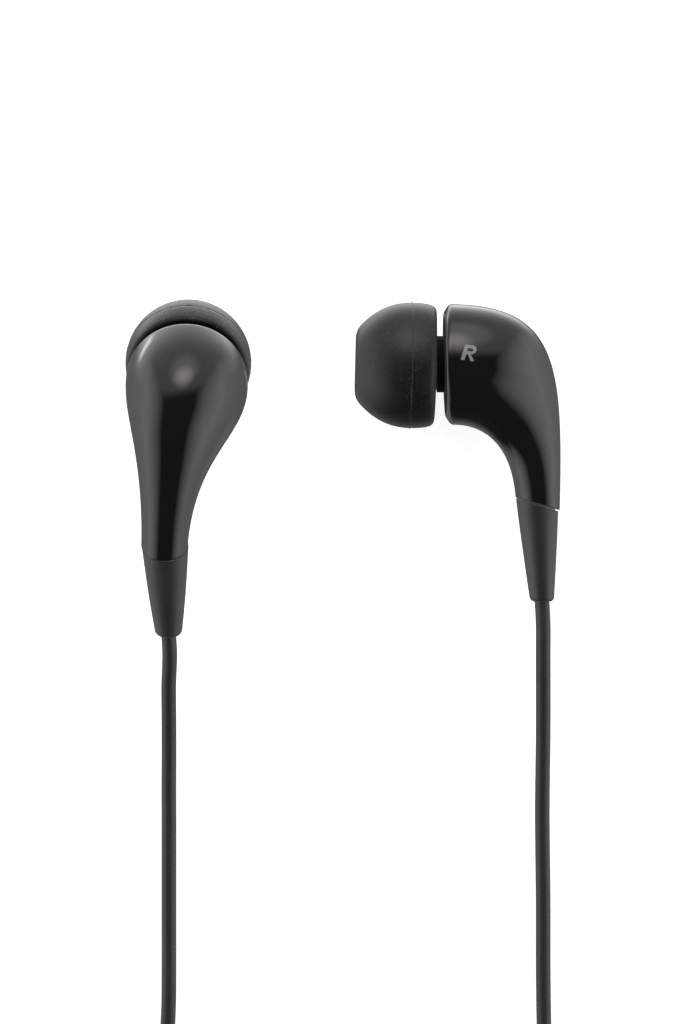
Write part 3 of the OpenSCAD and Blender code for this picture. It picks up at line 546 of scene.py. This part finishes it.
def makeTie(side):
    coil = coils[side]
    diameter = cords[coil["cord"]]
    pitch = diameter + cords["air"]
    across, up = pitch * coil["turns"] / coil["layers"], pitch * (coil["layers"] - 1)
    width, height = across + diameter + 2 * tie["slip"] + tie["spare"], up + diameter + 2 * tie["slip"]
    place = (Matrix.Translation(coil["at"]) @ Matrix.Rotation(radians(tie["angles"][side]), 4, "Z")
             @ Matrix.Translation((coil["radius"] - across / 2, 0, up / 2)))

    def loopAt(out):
        return roundedBox(width + 2 * out, height + 2 * out, tie["cornerRadius"] + out)

    t, half, r = tie["thickness"], tie["width"] / 2, tie["edge"]
    lower = [(0, r), (0.3 * r, 0.3 * r), (r, 0), (t - r, 0), (t - 0.3 * r, 0.3 * r), (t, r)]
    edge = [(out, y - half) for out, y in lower] + [(out, half - y) for out, y in reversed(lower)]
    loops = zip(*(loopAt(out) for out, _ in edge))
    rings = [[(x, y, z) for (x, z), (_, y) in zip(spots, edge)] for spots in loops]
    band = loft(side + "TieBand", rings, place, True, 50)
    crest = [(x, 0, z) for x, z in loopAt(t - tie["ribSunk"]) if z > 0]
    ribs = grow(side + "TieRibs", crest, ribTree, {"Pitch": tie["ribPitch"], "Length": tie["ribLength"],
        "Diameter": tie["ribDiameter"], "Material": tieRubber}, place)
    dress(band, tieRubber, "tie_rubber", side + "_coil_tie")
    ribs.parent = band
    return band


splitterShape = dict(at=(0, -88, 2.6), length=13, diameter=5.2, neck=1.5)
plug = dict(at=(15.6, -119, 3.4), boot=7, bootEnd=2.8, bootTop=5.2, bootRings=4, grip=13, gripDiameter=6.8,
    waist=0.25, pin=14, pinDiameter=3.5, tip=4, ring=2.4, insulator=0.7, insulatorIn=0.03, edge=0.06,
    sunk=0.6)
downY = Matrix.Rotation(-pi / 2, 4, "Z")


def makeSplitter():
    shape = splitterShape
    r, length, neck = shape["diameter"] / 2, shape["length"], shape["neck"]
    taper = curveSteps([(r, 0.6 * length), (r, 0.8 * length), (neck + 0.4, 0.85 * length),
                        (neck, length)], 26)
    outline = (roundCorners([(0, 0, 0), (r, 0, 0.8), (r, 0.5 * length, 0)], 8) + taper[:-1]
               + roundCorners([(*taper[-1], 0), (neck, length, 0.2), (0, length, 0)], 5))
    return turned("splitter", outline, Matrix.Translation(shape["at"]) @ downY)


def makePlug():
    p = plug
    place = Matrix.Translation(p["at"]) @ downY
    end, top, boot = p["bootEnd"] / 2, p["bootTop"] / 2, p["boot"]
    r, gripEnd, waist = p["gripDiameter"] / 2, boot + p["grip"], p["gripDiameter"] / 2 - p["waist"]
    pin, pinEnd = p["pinDiameter"] / 2, gripEnd + p["pin"]
    tipStart = pinEnd - p["tip"]
    ringEnd = tipStart - p["insulator"]
    sleeveEnd = ringEnd - p["ring"] - p["insulator"]

    def part(name, outline, material, slot, *nodes):
        return dress(turned(name, outline, place), material, slot, *nodes)

    def rod(radius, start, stop, edge, steps=4):
        return roundCorners([(0, start, 0), (radius, start, edge), (radius, stop, edge), (0, stop, 0)], steps)

    # the boot widens in rings that let it bend
    bootCorners = [(0, 0, 0), (end - 0.05, 0, 0.12)]
    ringStep = (boot - 1) / p["bootRings"]
    for k in range(p["bootRings"]):
        a = k * ringStep + 0.2
        here = end + (top - end) * a / boot
        bootCorners += [(here, a, 0.08 if k else 0.12), (here + 0.14, a + 0.7 * ringStep, 0.25),
            (here - 0.16, a + 0.75 * ringStep, 0.1), (here - 0.16, a + 0.95 * ringStep, 0.05)]
    bootCorners += [(top, boot - 0.6, 0.1), (top, boot, 0.05), (0, boot, 0)]
    gripSides = curveSteps([(r, boot + 2), (waist, boot + 4), (waist, gripEnd - 4), (r, gripEnd - 2)], 30)
    grip = (roundCorners([(0, boot, 0), (r, boot, 0.8), (r, boot + 2, 0)], 8)[:-1] + gripSides
            + roundCorners([(r, gripEnd - 2, 0), (r, gripEnd, 0.8), (pin + 0.3, gripEnd, 0.1),
                            (pin + 0.3, gripEnd - 0.25, 0.05), (0, gripEnd - 0.25, 0)], 8))
    tip = roundCorners([(0, tipStart, 0), (pin, tipStart, p["edge"]), (pin, tipStart + 0.6, 0.15),
                        (pin - 0.45, tipStart + 1.2, 0.25), (pin - 0.45, tipStart + 1.5, 0.25),
                        (pin - 0.08, tipStart + 2.1, 0.2), (pin - 0.12, tipStart + 2.4, 0.4),
                        (0.45, pinEnd - 0.15, 0.3), (0, pinEnd, 0)], 6)
    sleeve = rod(pin, gripEnd - p["sunk"], sleeveEnd, p["edge"])
    ring = rod(pin, sleeveEnd + p["insulator"], ringEnd, p["edge"])
    insulators = [rod(pin - p["insulatorIn"], x, x + p["insulator"], 0, 5) for x in (ringEnd, sleeveEnd)]
    return [part("plugBoot", roundCorners(bootCorners, 5), reliefRubber, "relief_rubber", "plug_boot"),
            part("plugGrip", grip, glossBlack, "gloss_shell", "plug_grip"),
            part("plugSleeve", sleeve, contactGold, "contact_gold", "plug_sleeve"),
            part("plugRing", ring, contactGold, "contact_gold", "plug_ring"),
            part("plugTip", tip, contactGold, "contact_gold", "plug_tip"),
            part("insulatorNearTip", insulators[0], insulatorBlack, "frame_plastic", "plug_insulators"),
            part("insulatorNearSleeve", insulators[1], insulatorBlack, "frame_plastic")]


ties = {side: makeTie(side) for side in coils}
splitter = dress(makeSplitter(), reliefRubber, "relief_rubber", "y_split")
layAllCords(makePlug())


# Ear tips

# each tip's fade says how far its painted shade reaches in from the rear edge
earTip = dict(length=8.02, diameter=12.56, face=7.1, skirt=0.65, core=0.6, mouth=3.8, rear=-0.82,
    boreRadius=2.7, step=-5.2, tilt=dict(left=0, right=radians(-1.3)), tiltAbout=5,
    drop=dict(left=-0.14, right=-0.08), ridgeAt=-3.25, ridgeReach=0.3, ridgeHeight=0.04, ridgeWidth=0.07,
    ridgeStep=0.045, nib=1.8, ridgeRings=24, paintedShadeFade=dict(left=0.58, right=0.45), around=192)


def tipOutline():
    tip = earTip
    rear, r, face, mouth = tip["rear"], tip["diameter"] / 2, tip["face"] / 2, tip["mouth"] / 2
    ahead, inner, bore = rear - tip["length"], r - tip["skirt"], tip["boreRadius"]
    core = bore + tip["core"]

    def reach(share):
        return rear - share * tip["length"]

    widest, shoulder = reach(0.3), (face + 0.55, ahead + 0.65)
    lips = curveSteps([(mouth, ahead + 0.35), (mouth, ahead + 0.1), (mouth + 0.15, ahead),
                       (mouth + 0.4, ahead)], 6)
    outside = chain(
        ([(face - 1.1, ahead), (face - 0.2, ahead), (face + 0.1, ahead + 0.25), shoulder], 10),
        ([shoulder, (face + 1.85, reach(0.76)), (r - 0.02, reach(0.57)), (r, widest)], 60),
        ([(r, widest), (r, reach(0.2)), (r - 0.08, reach(0.12)), (r - 0.22, reach(0.065))], 24),
        ([(r - 0.22, reach(0.065)), (r - 0.36, reach(0.015)), (r - 0.65, rear), (r - 1, rear)], 12))
    inside = chain(
        ([(r - 1, rear), (r - 1.15, reach(0.01)), (inner, reach(0.15)), (inner, widest)], 12),
        ([(inner, widest), (inner, reach(0.5)), (face + 1.4, reach(0.62)), (core + 0.7, reach(0.71))], 14),
        ([(core + 0.7, reach(0.71)), (core + 0.2, reach(0.76)), (core, reach(0.74)), (core, reach(0.66))], 8))
    tube = [(core, reach(0.66)), (core, rear - 0.05), (bore, rear - 0.05), (bore, tip["step"]),
        (mouth, tip["step"])]
    # extra rings across the mould's parting line
    ridge = [i for i, (_, x) in enumerate(outside) if abs(x - tip["ridgeAt"]) < tip["ridgeReach"]]
    first, last = outside[ridge[0]], outside[ridge[-1]]
    fine = [first.lerp(last, k / tip["ridgeRings"]) for k in range(tip["ridgeRings"] + 1)]
    outside[ridge[0]:ridge[-1] + 1] = fine
    return [tuple(p) for p in (*lips, *outside, *inside, *tube)]


def clamp(value):
    return max(0, min(1, value))


def makeTip(side):
    tip = earTip
    piece = turned(side + "EarTip", tipOutline(), None, tip["around"], 55)
    # this attribute holds painted shade: 1 keeps the full colour and coat, 0 paints the surface dark
    paintedLitShare = piece.data.attributes.new("paintedLitShare", "FLOAT", "POINT")
    for vertex in piece.data.vertices:
        x, y, z = vertex.co / mm
        r, angle = hypot(y, z), atan2(z, y)
        # painted shade: the whole inside of the tip is dark, and the outside darkens over the skirt's rear
        # edge, where it turns into the gap by the housing
        outer = r > tip["face"] / 2 - 0.3 and (x < -4 or r > tip["diameter"] / 2 - tip["skirt"] / 2 - 0.6)
        paintedLitShare.data[vertex.index].value = clamp((tip["rear"] - x) / tip["paintedShadeFade"][side]) if outer else 0
        behind = x - tip["ridgeAt"]
        if r > tip["diameter"] / 2 - 0.2 and abs(behind) < tip["ridgeReach"]:
            # the parting line stands a little proud, unevenly, with a flash nib above and below
            uneven = 0.5 + 0.35 * sin(9 * angle + 1) * sin(31 * angle) + 0.45 * sin(53 * angle + 2)
            nib = exp(-((angle - 0.03) / 0.035) ** 2) + exp(-((abs(angle) - pi) / 0.03) ** 2)
            rise = tip["ridgeHeight"] * (max(0, uneven) + tip["nib"] * nib)
            rise *= exp(-(behind / tip["ridgeWidth"]) ** 2)
            # the mould's rear half comes out a little smaller
            rise -= tip["ridgeStep"] * clamp(behind / 0.05) * max(0, 1 - max(0, behind) / tip["ridgeReach"])
            vertex.co.y += rise * cos(angle) * mm
            vertex.co.z += rise * sin(angle) * mm
    # a soft tip sits a little askew on its nozzle
    askew = (Matrix.Translation((-tip["tiltAbout"], tip["drop"][side], 0))
             @ Matrix.Rotation(tip["tilt"][side], 4, "Z") @ Matrix.Translation((tip["tiltAbout"], 0, 0)))
    piece.data.transform(Matrix.Scale(mm, 4) @ places[side] @ askew @ Matrix.Scale(1 / mm, 4))
    if side == "left":
        # the left ear is a mirrored copy, so its faces turn over
        piece.data.flip_normals()
    for vertex in piece.data.vertices:
        vertex.co.z = max(vertex.co.z, 0)
    material = tipSiliconeLeft if side == "left" else tipSilicone
    return dress(piece, material, "silicone", side + "_ear_tip", body=side + "_tip")


tips = {side: makeTip(side) for side in places}
print("ear tips made")


# Front caps, nozzle meshes, housings and strain reliefs

cap = dict(nozzle=4.8, lip=2.65, neck=2.35, lipWidth=0.9, collar=2.825, collarLength=0.75, faceRadius=4.5,
    face=0.06, rim=5.25, rimDepth=0.12, spigot=5.1, spigotEnd=2.05, seat=4.65, plate=0.8, bore=1.6,
    meshSeat=2.05, meshDepth=0.25)
frontLean = {"left": 0, "right": 0.018, "from": 1, "until": 3.5}
wovenMesh = dict(diameter=4.0, pitch=0.24, wire=0.09, place=-4.66)


def leanFront(piece, side):
    # the right front sits slightly out of square, and eases back into the body behind it
    back, start, end = places[side].inverted(), frontLean["from"], frontLean["until"]
    for vertex in piece.data.vertices:
        spot = back @ (vertex.co / mm)
        ease = clamp((end - spot.x) / (end - start))
        spot.x -= frontLean[side] * spot.y * ease * ease * (3 - 2 * ease)
        vertex.co = (places[side] @ spot) * mm


def makeCap(side):
    c, tip = cap, -cap["nozzle"]
    rimCurve = [(c["faceRadius"], c["face"]), (4.8, c["face"]), (5.15, c["face"] + 0.01),
        (c["rim"], c["rimDepth"])]
    corners = [
        (c["meshSeat"], tip, 0.05), (c["neck"], tip, 0.15), (c["lip"], tip + c["lip"] - c["neck"], 0.12),
        (c["lip"], tip + c["lipWidth"], 0.06), (c["neck"], tip + c["lipWidth"], 0.1),
        (c["neck"], -c["collarLength"], 0.15), (c["collar"], -c["collarLength"], 0.08),
        (c["collar"], c["face"], 0.12),
        (c["faceRadius"], c["face"], 0), *((r, x, 0) for r, x in curveSteps(rimCurve, 8)[1:]),
        (c["rim"], c["rimDepth"], 0), (c["spigot"], c["rimDepth"], 0.02), (c["spigot"], c["spigotEnd"], 0.1),
        (c["seat"], c["spigotEnd"], 0.05), (c["seat"], c["plate"], 0), (c["bore"], c["plate"], 0.05),
        (c["bore"], tip + c["meshDepth"], 0), (c["meshSeat"], tip + c["meshDepth"], 0)]
    piece = turned(side + "FrontCap", roundCorners(corners, 6), places[side])
    back, points = places[side].inverted(), piece.data.vertices
    shown = [all((back @ (points[i].co / mm)).x < c["rimDepth"] + 0.01 for i in face.vertices)
             for face in piece.data.polygons]
    leanFront(piece, side)
    dress(piece, glossBlack, "gloss_shell", side + "_front_cap")
    # the cap's front and neck are satin, and what is inside the housing keeps its gloss
    piece.data.materials.append(capSatin)
    for face, isShown in zip(piece.data.polygons, shown):
        face.material_index = int(isShown)
    return piece


def makeMeshTree():
    # wires woven over and under each other across a round disc
    tree, given = newTree("wovenMesh", Radius="Float", Pitch="Float", Wire="Float", Count="Int")
    radius, pitch, wire, count = (Term(given[name]) for name in ("Radius", "Pitch", "Wire", "Count"))
    index = Term(add(tree, "GeometryNodeInputIndex"))
    offset = (index - (count - 1.0) * 0.5) * pitch
    reach = calc("SQRT", calc("MAXIMUM", radius * radius - offset * offset, 0.01))
    points = add(tree, "GeometryNodePoints", {
        "Count": count, "Position": add(tree, "ShaderNodeCombineXYZ", {"X": offset})})
    rod = add(tree, "GeometryNodeCurvePrimitiveLine", {"Start": (0, -1, 0), "End": (0, 1, 0)})
    laid = add(tree, "GeometryNodeInstanceOnPoints", {
        "Points": keep(tree, points, "phase", index * pi),
        "Instance": add(tree, "GeometryNodeResampleCurve", {"Curve": rod, "Count": 70}),
        "Scale": add(tree, "ShaderNodeCombineXYZ", {"X": 1.0, "Y": reach, "Z": 1.0})})
    real = add(tree, "GeometryNodeRealizeInstances", {"Geometry": laid})
    spot = add(tree, "ShaderNodeSeparateXYZ", {"Vector": add(tree, "GeometryNodeInputPosition")})
    wave = calc("SINE", Term(spot.outputs["Y"]) / pitch * pi + recall(tree, "phase"))
    lift = add(tree, "ShaderNodeCombineXYZ", {"Z": wave * (wire * 0.5)})
    bent = add(tree, "GeometryNodeSetPosition", {"Geometry": real, "Offset": lift})
    ring = add(tree, "GeometryNodeCurvePrimitiveCircle", {"Radius": wire * 0.5, "Resolution": 6})
    wires = add(tree, "GeometryNodeCurveToMesh", {"Curve": bent, "Profile Curve": ring, "Fill Caps": True})
    crossed = add(tree, "GeometryNodeTransform", {"Geometry": wires, "Rotation": (0, 0, pi / 2)})
    both = add(tree, "GeometryNodeJoinGeometry", {"Geometry": wires})
    return closeTree(tree, given, feed(both, {"Geometry": crossed}))


meshTree = makeMeshTree()


def makeNozzleMesh(side):
    shape = wovenMesh
    place = places[side] @ Matrix.Translation((shape["place"], 0, 0)) @ Matrix.Rotation(pi / 2, 4, "Y")
    piece = grow(side + "NozzleMesh", [(0, 0, 0)], meshTree, {
        "Radius": shape["diameter"] / 2, "Pitch": shape["pitch"], "Wire": shape["wire"],
        "Count": int(shape["diameter"] / shape["pitch"]), "Material": meshSteel}, place)
    return dress(piece, meshSteel, "mesh_metal", side + "_nozzle_mesh")


def section(t, inset=0):
    # a ring round the housing at this share of its length, set in from the surface
    a, b = bezier(rails["outer"], t), bezier(rails["inner"], t)
    middle, way, bow = (a + b) / 2, (a - b).normalized(), bezier(rails["bow"], t)
    deep, wide = (a - b).length / 2 - inset, bezier(rails["width"], t) - inset
    return [(*(middle + deep * c * way), bow + wide * s) for c, s in circle(housing["around"])]


def disc(inset):
    r = housing["frontRadius"] - inset
    return [(housing["seamX"], r * c, r * s) for c, s in circle(housing["around"])]


def rimRing(side, t):
    # the right ear's edge is tighter above and below than at its sides
    wide, tight = bezier(rimShape["sides"], t), bezier(rimShape["top"], t)
    ring = []
    for c, s in circle(housing["around"]):
        x, inset = wide.lerp(tight, rimShape["sharp"][side] * s * s)
        r = housing["frontRadius"] - inset
        ring.append((x, r * c - rimShape["hang"] / 2 * (1 - c), r * s))
    return ring


def makeHousing(side):
    h = housing
    rings = [disc(rimShape["sides"][0][1])] + [rimRing(side, i / h["rimSteps"]) for i in range(h["rimSteps"])]
    rings += [section(i / h["steps"]) for i in range(h["steps"])]
    rings += [section(1 - back, inset) for back, inset in h["foot"]]
    rings += [section(i / h["insideSteps"], h["wall"]) for i in range(h["insideSteps"], -1, -1)]
    rings.append(disc(h["wall"]))
    piece = loft(side + "Housing", rings, places[side], True, 30)
    leanFront(piece, side)
    return dress(piece, glossBlack, "gloss_shell", side + "_housing")


def reliefSection(s, inset=0, rearInset=0, frontInset=0):
    # a ring at this share of the length, set in all round and by more or less at its rear and front
    way = ((1 - s) * (stemRear - stemFront).normalized() + s * Vector((1, 0))).normalized()
    middle = (1 - s) * (reliefTop + Vector(relief["shift"])) + s * reliefEnd
    deep = ((1 - s) * ((stemRear - stemFront).length / 2 - relief["stepIn"])
            + s * relief["endDepth"] / 2 - inset)
    wide = ((1 - s) * housing["stemWidth"] / 2 + s * relief["endWidth"] / 2
            + relief["swell"] * sin(pi * s) - inset)
    ring = []
    for c, z in circle(relief["around"]):
        far = deep * c - (rearInset if c > 0 else -frontInset) * c * c
        ring.append((middle.x + far * way.x, middle.y + far * way.y, middle.z + wide * z))
    return ring


def reliefRing(down, diameter):
    side = Vector((0, 0, 1)).cross(reliefWay).normalized()
    ahead = reliefWay.cross(side)
    centre, r = reliefTop + down * reliefWay, diameter / 2
    return [centre + r * (c * side + s * ahead) for c, s in circle(relief["around"])]


def makeRelief(side):
    lip, steps, edge = relief["lip"], relief["steps"], relief["endRound"]
    rounded = edge / relief["length"]
    neckIn = (housing["stemWidth"] - relief["neckDiameter"]) / 2
    low = reliefSection(0, lip["sides"], lip["rear"] - lip["sides"], lip["front"] - lip["sides"])
    # the rim stands up close to the housing, over the seam round the neck
    rim = [Vector((0, relief["seam"] - 0.015, 0)) + Vector(p) for p in low]
    outside = [reliefRing(-relief["neck"], relief["neckDiameter"]),
               reliefSection(-relief["seam"] / relief["length"], neckIn), rim, low, reliefSection(0, 0.04),
               reliefSection(0.002, 0.01), reliefSection(0.006)]
    outside += [reliefSection(i / steps * (1 - rounded)) for i in range(1, steps)]
    outside += [reliefSection(1 - rounded * (1 - sin(a)), edge * (1 - cos(a)))
                for a in (radians(10 * i) for i in range(8))]
    length = (reliefEnd - reliefTop).length
    inside = [reliefRing(down, relief["bore"]) for down in (length, length / 2, -relief["neck"])]
    piece = loft(side + "StrainRelief", outside + inside, places[side], True, 35)
    return dress(piece, reliefRubber, "relief_rubber", side + "_strain_relief")


caps = {side: makeCap(side) for side in places}
meshes = {side: makeNozzleMesh(side) for side in places}
housings = {side: makeHousing(side) for side in places}
reliefs = {side: makeRelief(side) for side in places}
print("caps, meshes, housings and strain reliefs made")


# Side marks, printed on the outer face

mark = dict(at=(2.38, 0.85), height=1.55, slant=0.16, turn=radians(-7), rise=0.012, sunk=0.02,
    longestEdge=0.25, passes=4, above=20)


def bowl(centreY, radius, startX, angles):
    return [(startX + radius * cos(radians(a)), centreY + radius * sin(radians(a)))
            for a in angles]


letters = {
    "right": [[(0, 0), (0, 1), *bowl(0.71, 0.29, 0.52, range(90, -91, -15)), (0.86, 0), (0.6, 0), (0.36, 0.4),
               (0.24, 0.4), (0.24, 0)],
              [(0.24, 0.6), *bowl(0.7, 0.1, 0.5, range(-90, 91, 15)), (0.24, 0.8)]],
    "left": [[(0, 0), (0, 1), (0.25, 1), (0.25, 0.21), (0.78, 0.21), (0.78, 0)]]}


def makeMark(side):
    flip = -1 if side == "left" else 1
    widest = max(x for x, _ in letters[side][0])
    c, s = cos(mark["turn"]), sin(mark["turn"])

    def onFace(x, y):
        along, up = x - widest / 2 + mark["slant"] * (y - 0.5), y - 0.5
        return Vector((mark["at"][0] + flip * mark["height"] * (along * c - up * s),
                       mark["at"][1] + mark["height"] * (along * s + up * c), 0))

    flat = [[onFace(x, y) for x, y in loop] for loop in letters[side]]
    form = bmesh.new()
    corners = [form.verts.new(p) for loop in flat for p in loop]
    for face in tessellate_polygon(flat):
        form.faces.new([corners[i] for i in face])
    for _ in range(mark["passes"]):
        long = [e for e in form.edges if e.calc_length() > mark["longestEdge"]]
        if long:
            bmesh.ops.subdivide_edges(form, edges=long, cuts=1)
            bmesh.ops.triangulate(form, faces=form.faces)
    form.verts.index_update()
    # dropped onto the housing: tops a little proud of it, bottoms a little under
    back = places[side].to_3x3() @ Vector((0, 0, -1))
    tree = BVHTree.FromObject(housings[side], bpy.context.evaluated_depsgraph_get())
    hits = [tree.ray_cast(places[side] @ (vertex.co + Vector((0, 0, mark["above"]))) * mm, back)[:2]
            for vertex in form.verts]
    tops = [hit / mm + mark["rise"] * normal for hit, normal in hits]
    bottoms = [hit / mm - mark["sunk"] * normal for hit, normal in hits]
    count = len(hits)
    faces = [tuple(v.index for v in face.verts) for face in form.faces]
    faces += [tuple(count + i for i in reversed(face)) for face in faces]
    for edge in form.edges:
        if edge.is_boundary:
            a, b = (v.index for v in edge.verts)
            faces.append((a, b, count + b, count + a))
    form.free()
    piece = solidPiece(side + "Mark", tops + bottoms, faces)
    piece.data.materials.append(markInk)
    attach(piece, "earphones")


for side in places:
    makeMark(side)


# Parts inside, which keep their CAD shape

foamGasket = finish("foamGasket", (0.09, 0.08, 0.07), (0.12, 0.11, 0.1), roughness=0.9, grainScale=6000,
    bump=0.6, depth=0.00008, fleck=0.4, fleckColour=(0.03, 0.03, 0.03))
copperWire = finish("copperWire", (0.72, 0.32, 0.16), (0.62, 0.25, 0.11), roughness=0.3, haze=0.1,
    shader={"Metallic": 1.0})
platedSteel = finish("platedSteel", (0.6, 0.6, 0.61), (0.5, 0.51, 0.52), roughness=0.24, haze=0.14,
    shader={"Metallic": 1.0})

insideFinishes = {
    "driver_cover": finish("coverMetal", (0.62, 0.62, 0.6), (0.5, 0.5, 0.49), roughness=0.28, haze=0.12,
        grainScale=2500, bump=0.05, shader={"Metallic": 1.0}),
    "diaphragm": finish("filmAmber", (0.58, 0.44, 0.18), (0.5, 0.37, 0.14), roughness=0.22, haze=0.08,
        shader={"IOR": 1.6}),
    "voice_coil": copperWire,
    "driver_frame": finish("framePlastic", (0.024, 0.024, 0.025), (0.035, 0.035, 0.034), roughness=0.45,
        haze=0.1, grainScale=3500, bump=0.2),
    "pole_plate": platedSteel,
    "magnet": finish("magnetGrey", (0.28, 0.29, 0.31), (0.22, 0.23, 0.24), roughness=0.38, haze=0.14,
        shader={"Metallic": 1.0}),
    "yoke": platedSteel,
    "terminal_board": finish("boardGreen", (0.03, 0.14, 0.06), (0.04, 0.17, 0.08), roughness=0.35,
        haze=0.1, grainScale=2200, bump=0.15),
    "lead_wires": copperWire, "cord_end": cordJacket, "cord_stop": platedSteel}
gasket = {"outer": 4.6, "inner": 4.15, "from": 0.8, "to": 0.98, "edge": 0.05}


def makeGasket(side):
    g = gasket
    outline = roundCorners([(g["inner"], g["from"], g["edge"]), (g["outer"], g["from"], g["edge"]),
                            (g["outer"], g["to"], g["edge"]), (g["inner"], g["to"], g["edge"])], 4)
    piece = turned(side + "Gasket", outline, places[side], 96)
    return dress(piece, foamGasket, "foam", side + "_gasket")


for side in places:
    inner = [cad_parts[side + "_" + part] for part in insideFinishes]
    for node, material in zip(inner, insideFinishes.values()):
        node.data.materials.clear()
        node.data.materials.append(material)
    # the two ears lie close, so neither is let into the other's gloss
    outer = [made[side] for made in (tips, caps, meshes, housings, reliefs)]
    for piece in (*outer, makeGasket(side), *inner):
        piece.visible_glossy = False
print("inner parts finished")


# Floor and light

studio = {
    "floorSize": 3.0, "floorColour": (0.8, 0.8, 0.8), "floorGlow": 0.8,
    # a tent round the object, open above and towards the front: each wall's strength, start and full height
    "east": (2.1, 0.59, 0.97), "west": (2.1, 0.55, 0.96), "north": (0.85, 0.15, 0.5), "join": 0.2,
    "eastTurn": (0.13, 0.1, 0.55), "westTurn": (0.12, 0.3, 0.7), "opening": 0.05, "roomFill": 0.12,
    # below the table's level: how the walls fade and reach round, the glow behind, and the table in front
    "level": (-0.15, 0.05), "northFade": 0.6, "lowReach": (0.5, 0.9), "low": (0.12, 2.05, 1.3),
    "backGlow": (3.2, 0.25, 0.6), "glowEast": (0.45, 0.3, 0.65),
    "tableGlow": (0.25, 0.1, 0.4), "tableLow": (1, 0.5, 0.85),
    # one frosted lamp behind the ears, in metres, with its radiance and its soft halo on the tent
    "lampAt": (-0.008, 0.084, 0.09), "lampAim": (0, 0.008, 0.008), "lampSize": 0.105, "lamp": 2.55,
    "lampFade": (0.06, 0.5), "lampColour": (1, 0.93, 0.89),
    "haloWay": (0.03, 0.86, 0.5), "halo": (1.0, 0.84, 1.0),
    # a narrow pale card low behind the left ear: its place in degrees, half its length and height, radiance
    "card": {"around": 137, "down": 132, "length": 0.17, "height": 0.08, "glow": 2.3}}


def makeFloor():
    mesh = bpy.data.meshes.new("floor")
    h = studio["floorSize"] / 2
    mesh.from_pydata([(-h, -h, 0), (h, -h, 0), (h, h, 0), (-h, h, 0)], [], [(0, 1, 2, 3)])
    floor = addObject("floor", mesh)
    floor.visible_glossy = False
    material = bpy.data.materials.new("floorPaper")
    material.use_nodes = True
    tree = material.node_tree
    seen = Term(add(tree, "ShaderNodeLightPath").outputs["Is Camera Ray"])
    feed(tree.nodes["Principled BSDF"], {
        "Base Color": (*studio["floorColour"], 1), "Roughness": 1.0, "Specular IOR Level": 0.0,
        "Emission Color": (1, 1, 1, 1), "Emission Strength": seen * studio["floorGlow"]})
    mesh.materials.append(material)


def makeLamp():
    data = bpy.data.lights.new("lamp", "AREA")
    data.shape, data.size, data.color = "SQUARE", studio["lampSize"], studio["lampColour"]
    data.energy = studio["lamp"] * pi * data.size ** 2
    data.use_nodes = True
    tree = data.node_tree
    # it fades from its middle to its edge
    across = Term(add(tree, "ShaderNodeVectorMath", {
        0: add(tree, "ShaderNodeNewGeometry").outputs["Parametric"], 1: (0.5, 0.5, 0)}, operation="DISTANCE"))
    feed(tree.nodes["Emission"], {"Strength": 1.0 - across.soft(1.0, *studio["lampFade"])})
    lamp = addObject("lamp", data)
    lamp.location = studio["lampAt"]
    lamp.rotation_euler = (Vector(studio["lampAim"]) - lamp.location).to_track_quat("-Z", "Y").to_euler()
    lamp.visible_camera = False


def makeTent():
    world = bpy.data.worlds.new("tent")
    world.use_nodes = True
    scene.world = world
    tree = world.node_tree
    tree.nodes.clear()
    way = add(tree, "ShaderNodeTexCoord").outputs["Generated"]
    rays = add(tree, "ShaderNodeLightPath").outputs
    parts = add(tree, "ShaderNodeSeparateXYZ", {"Vector": way})
    x, y, z = (Term(parts.outputs[k]) for k in "XYZ")

    def towards(direction):
        return Term(add(tree, "ShaderNodeVectorMath", {0: way, 1: direction}, operation="DOT_PRODUCT"))

    # the side walls turn in a little towards the front
    forward = -y
    east = (x + forward.soft(*studio["eastTurn"])).ramp(*studio["east"])
    west = (forward.soft(*studio["westTurn"]) - x).ramp(*studio["west"])
    low, high = calc("MINIMUM", z, 0.0), z.soft(1.0, *studio["level"])
    # below the table's level the side walls fade but reach round, as seen past the object's edge
    reach = (abs(x) / calc("SQRT", 1.0001 - z * z)).soft(1.0, *studio["lowReach"])
    least, most, curve = studio["low"]
    fading = calc("POWER", low + 1.0, curve) * (most - least) + least
    sides = calc("MAXIMUM", east, west) * high + reach * fading * (1.0 - high)
    behind = y.soft(*studio["north"]) * (low * studio["northFade"] + 1.0)
    glow = y.soft(*studio["backGlow"]) * (low * low) * (1.0 - x.soft(*studio["glowEast"]))
    glow = forward.soft(*studio["tableGlow"]) * (-z).soft(*studio["tableLow"]) + glow
    card = studio["card"]
    turn, down = radians(card["around"]), radians(card["down"])
    lit = calc("LESS_THAN", z, 0.0)
    tilted = Vector((cos(turn), sin(turn), 0)) * cos(down) - Vector((0, 0, sin(down)))
    for span, direction in ((card["length"], (-sin(turn), cos(turn), 0)), (card["height"], tilted)):
        lit = lit * (1.0 - abs(towards(direction)).soft(1.0, span / 3, span))
    walls = calc("SMOOTH_MAX", sides, behind, studio["join"]) + (lit * card["glow"] + glow)
    fill = (1.0 - Term(rays["Is Glossy Ray"])) * studio["roomFill"]
    total = walls + towards(studio["haloWay"]).soft(*studio["halo"]) + studio["opening"] + fill
    tent, white = (add(tree, "ShaderNodeBackground", {"Color": (1, 1, 1, 1), "Strength": strength})
                   for strength in (total, 1.0))
    seen = add(tree, "ShaderNodeMixShader", {0: rays["Is Camera Ray"], 1: tent, 2: white})
    add(tree, "ShaderNodeOutputWorld", {"Surface": seen})


makeFloor()
makeLamp()
makeTent()
print("floor and light made")
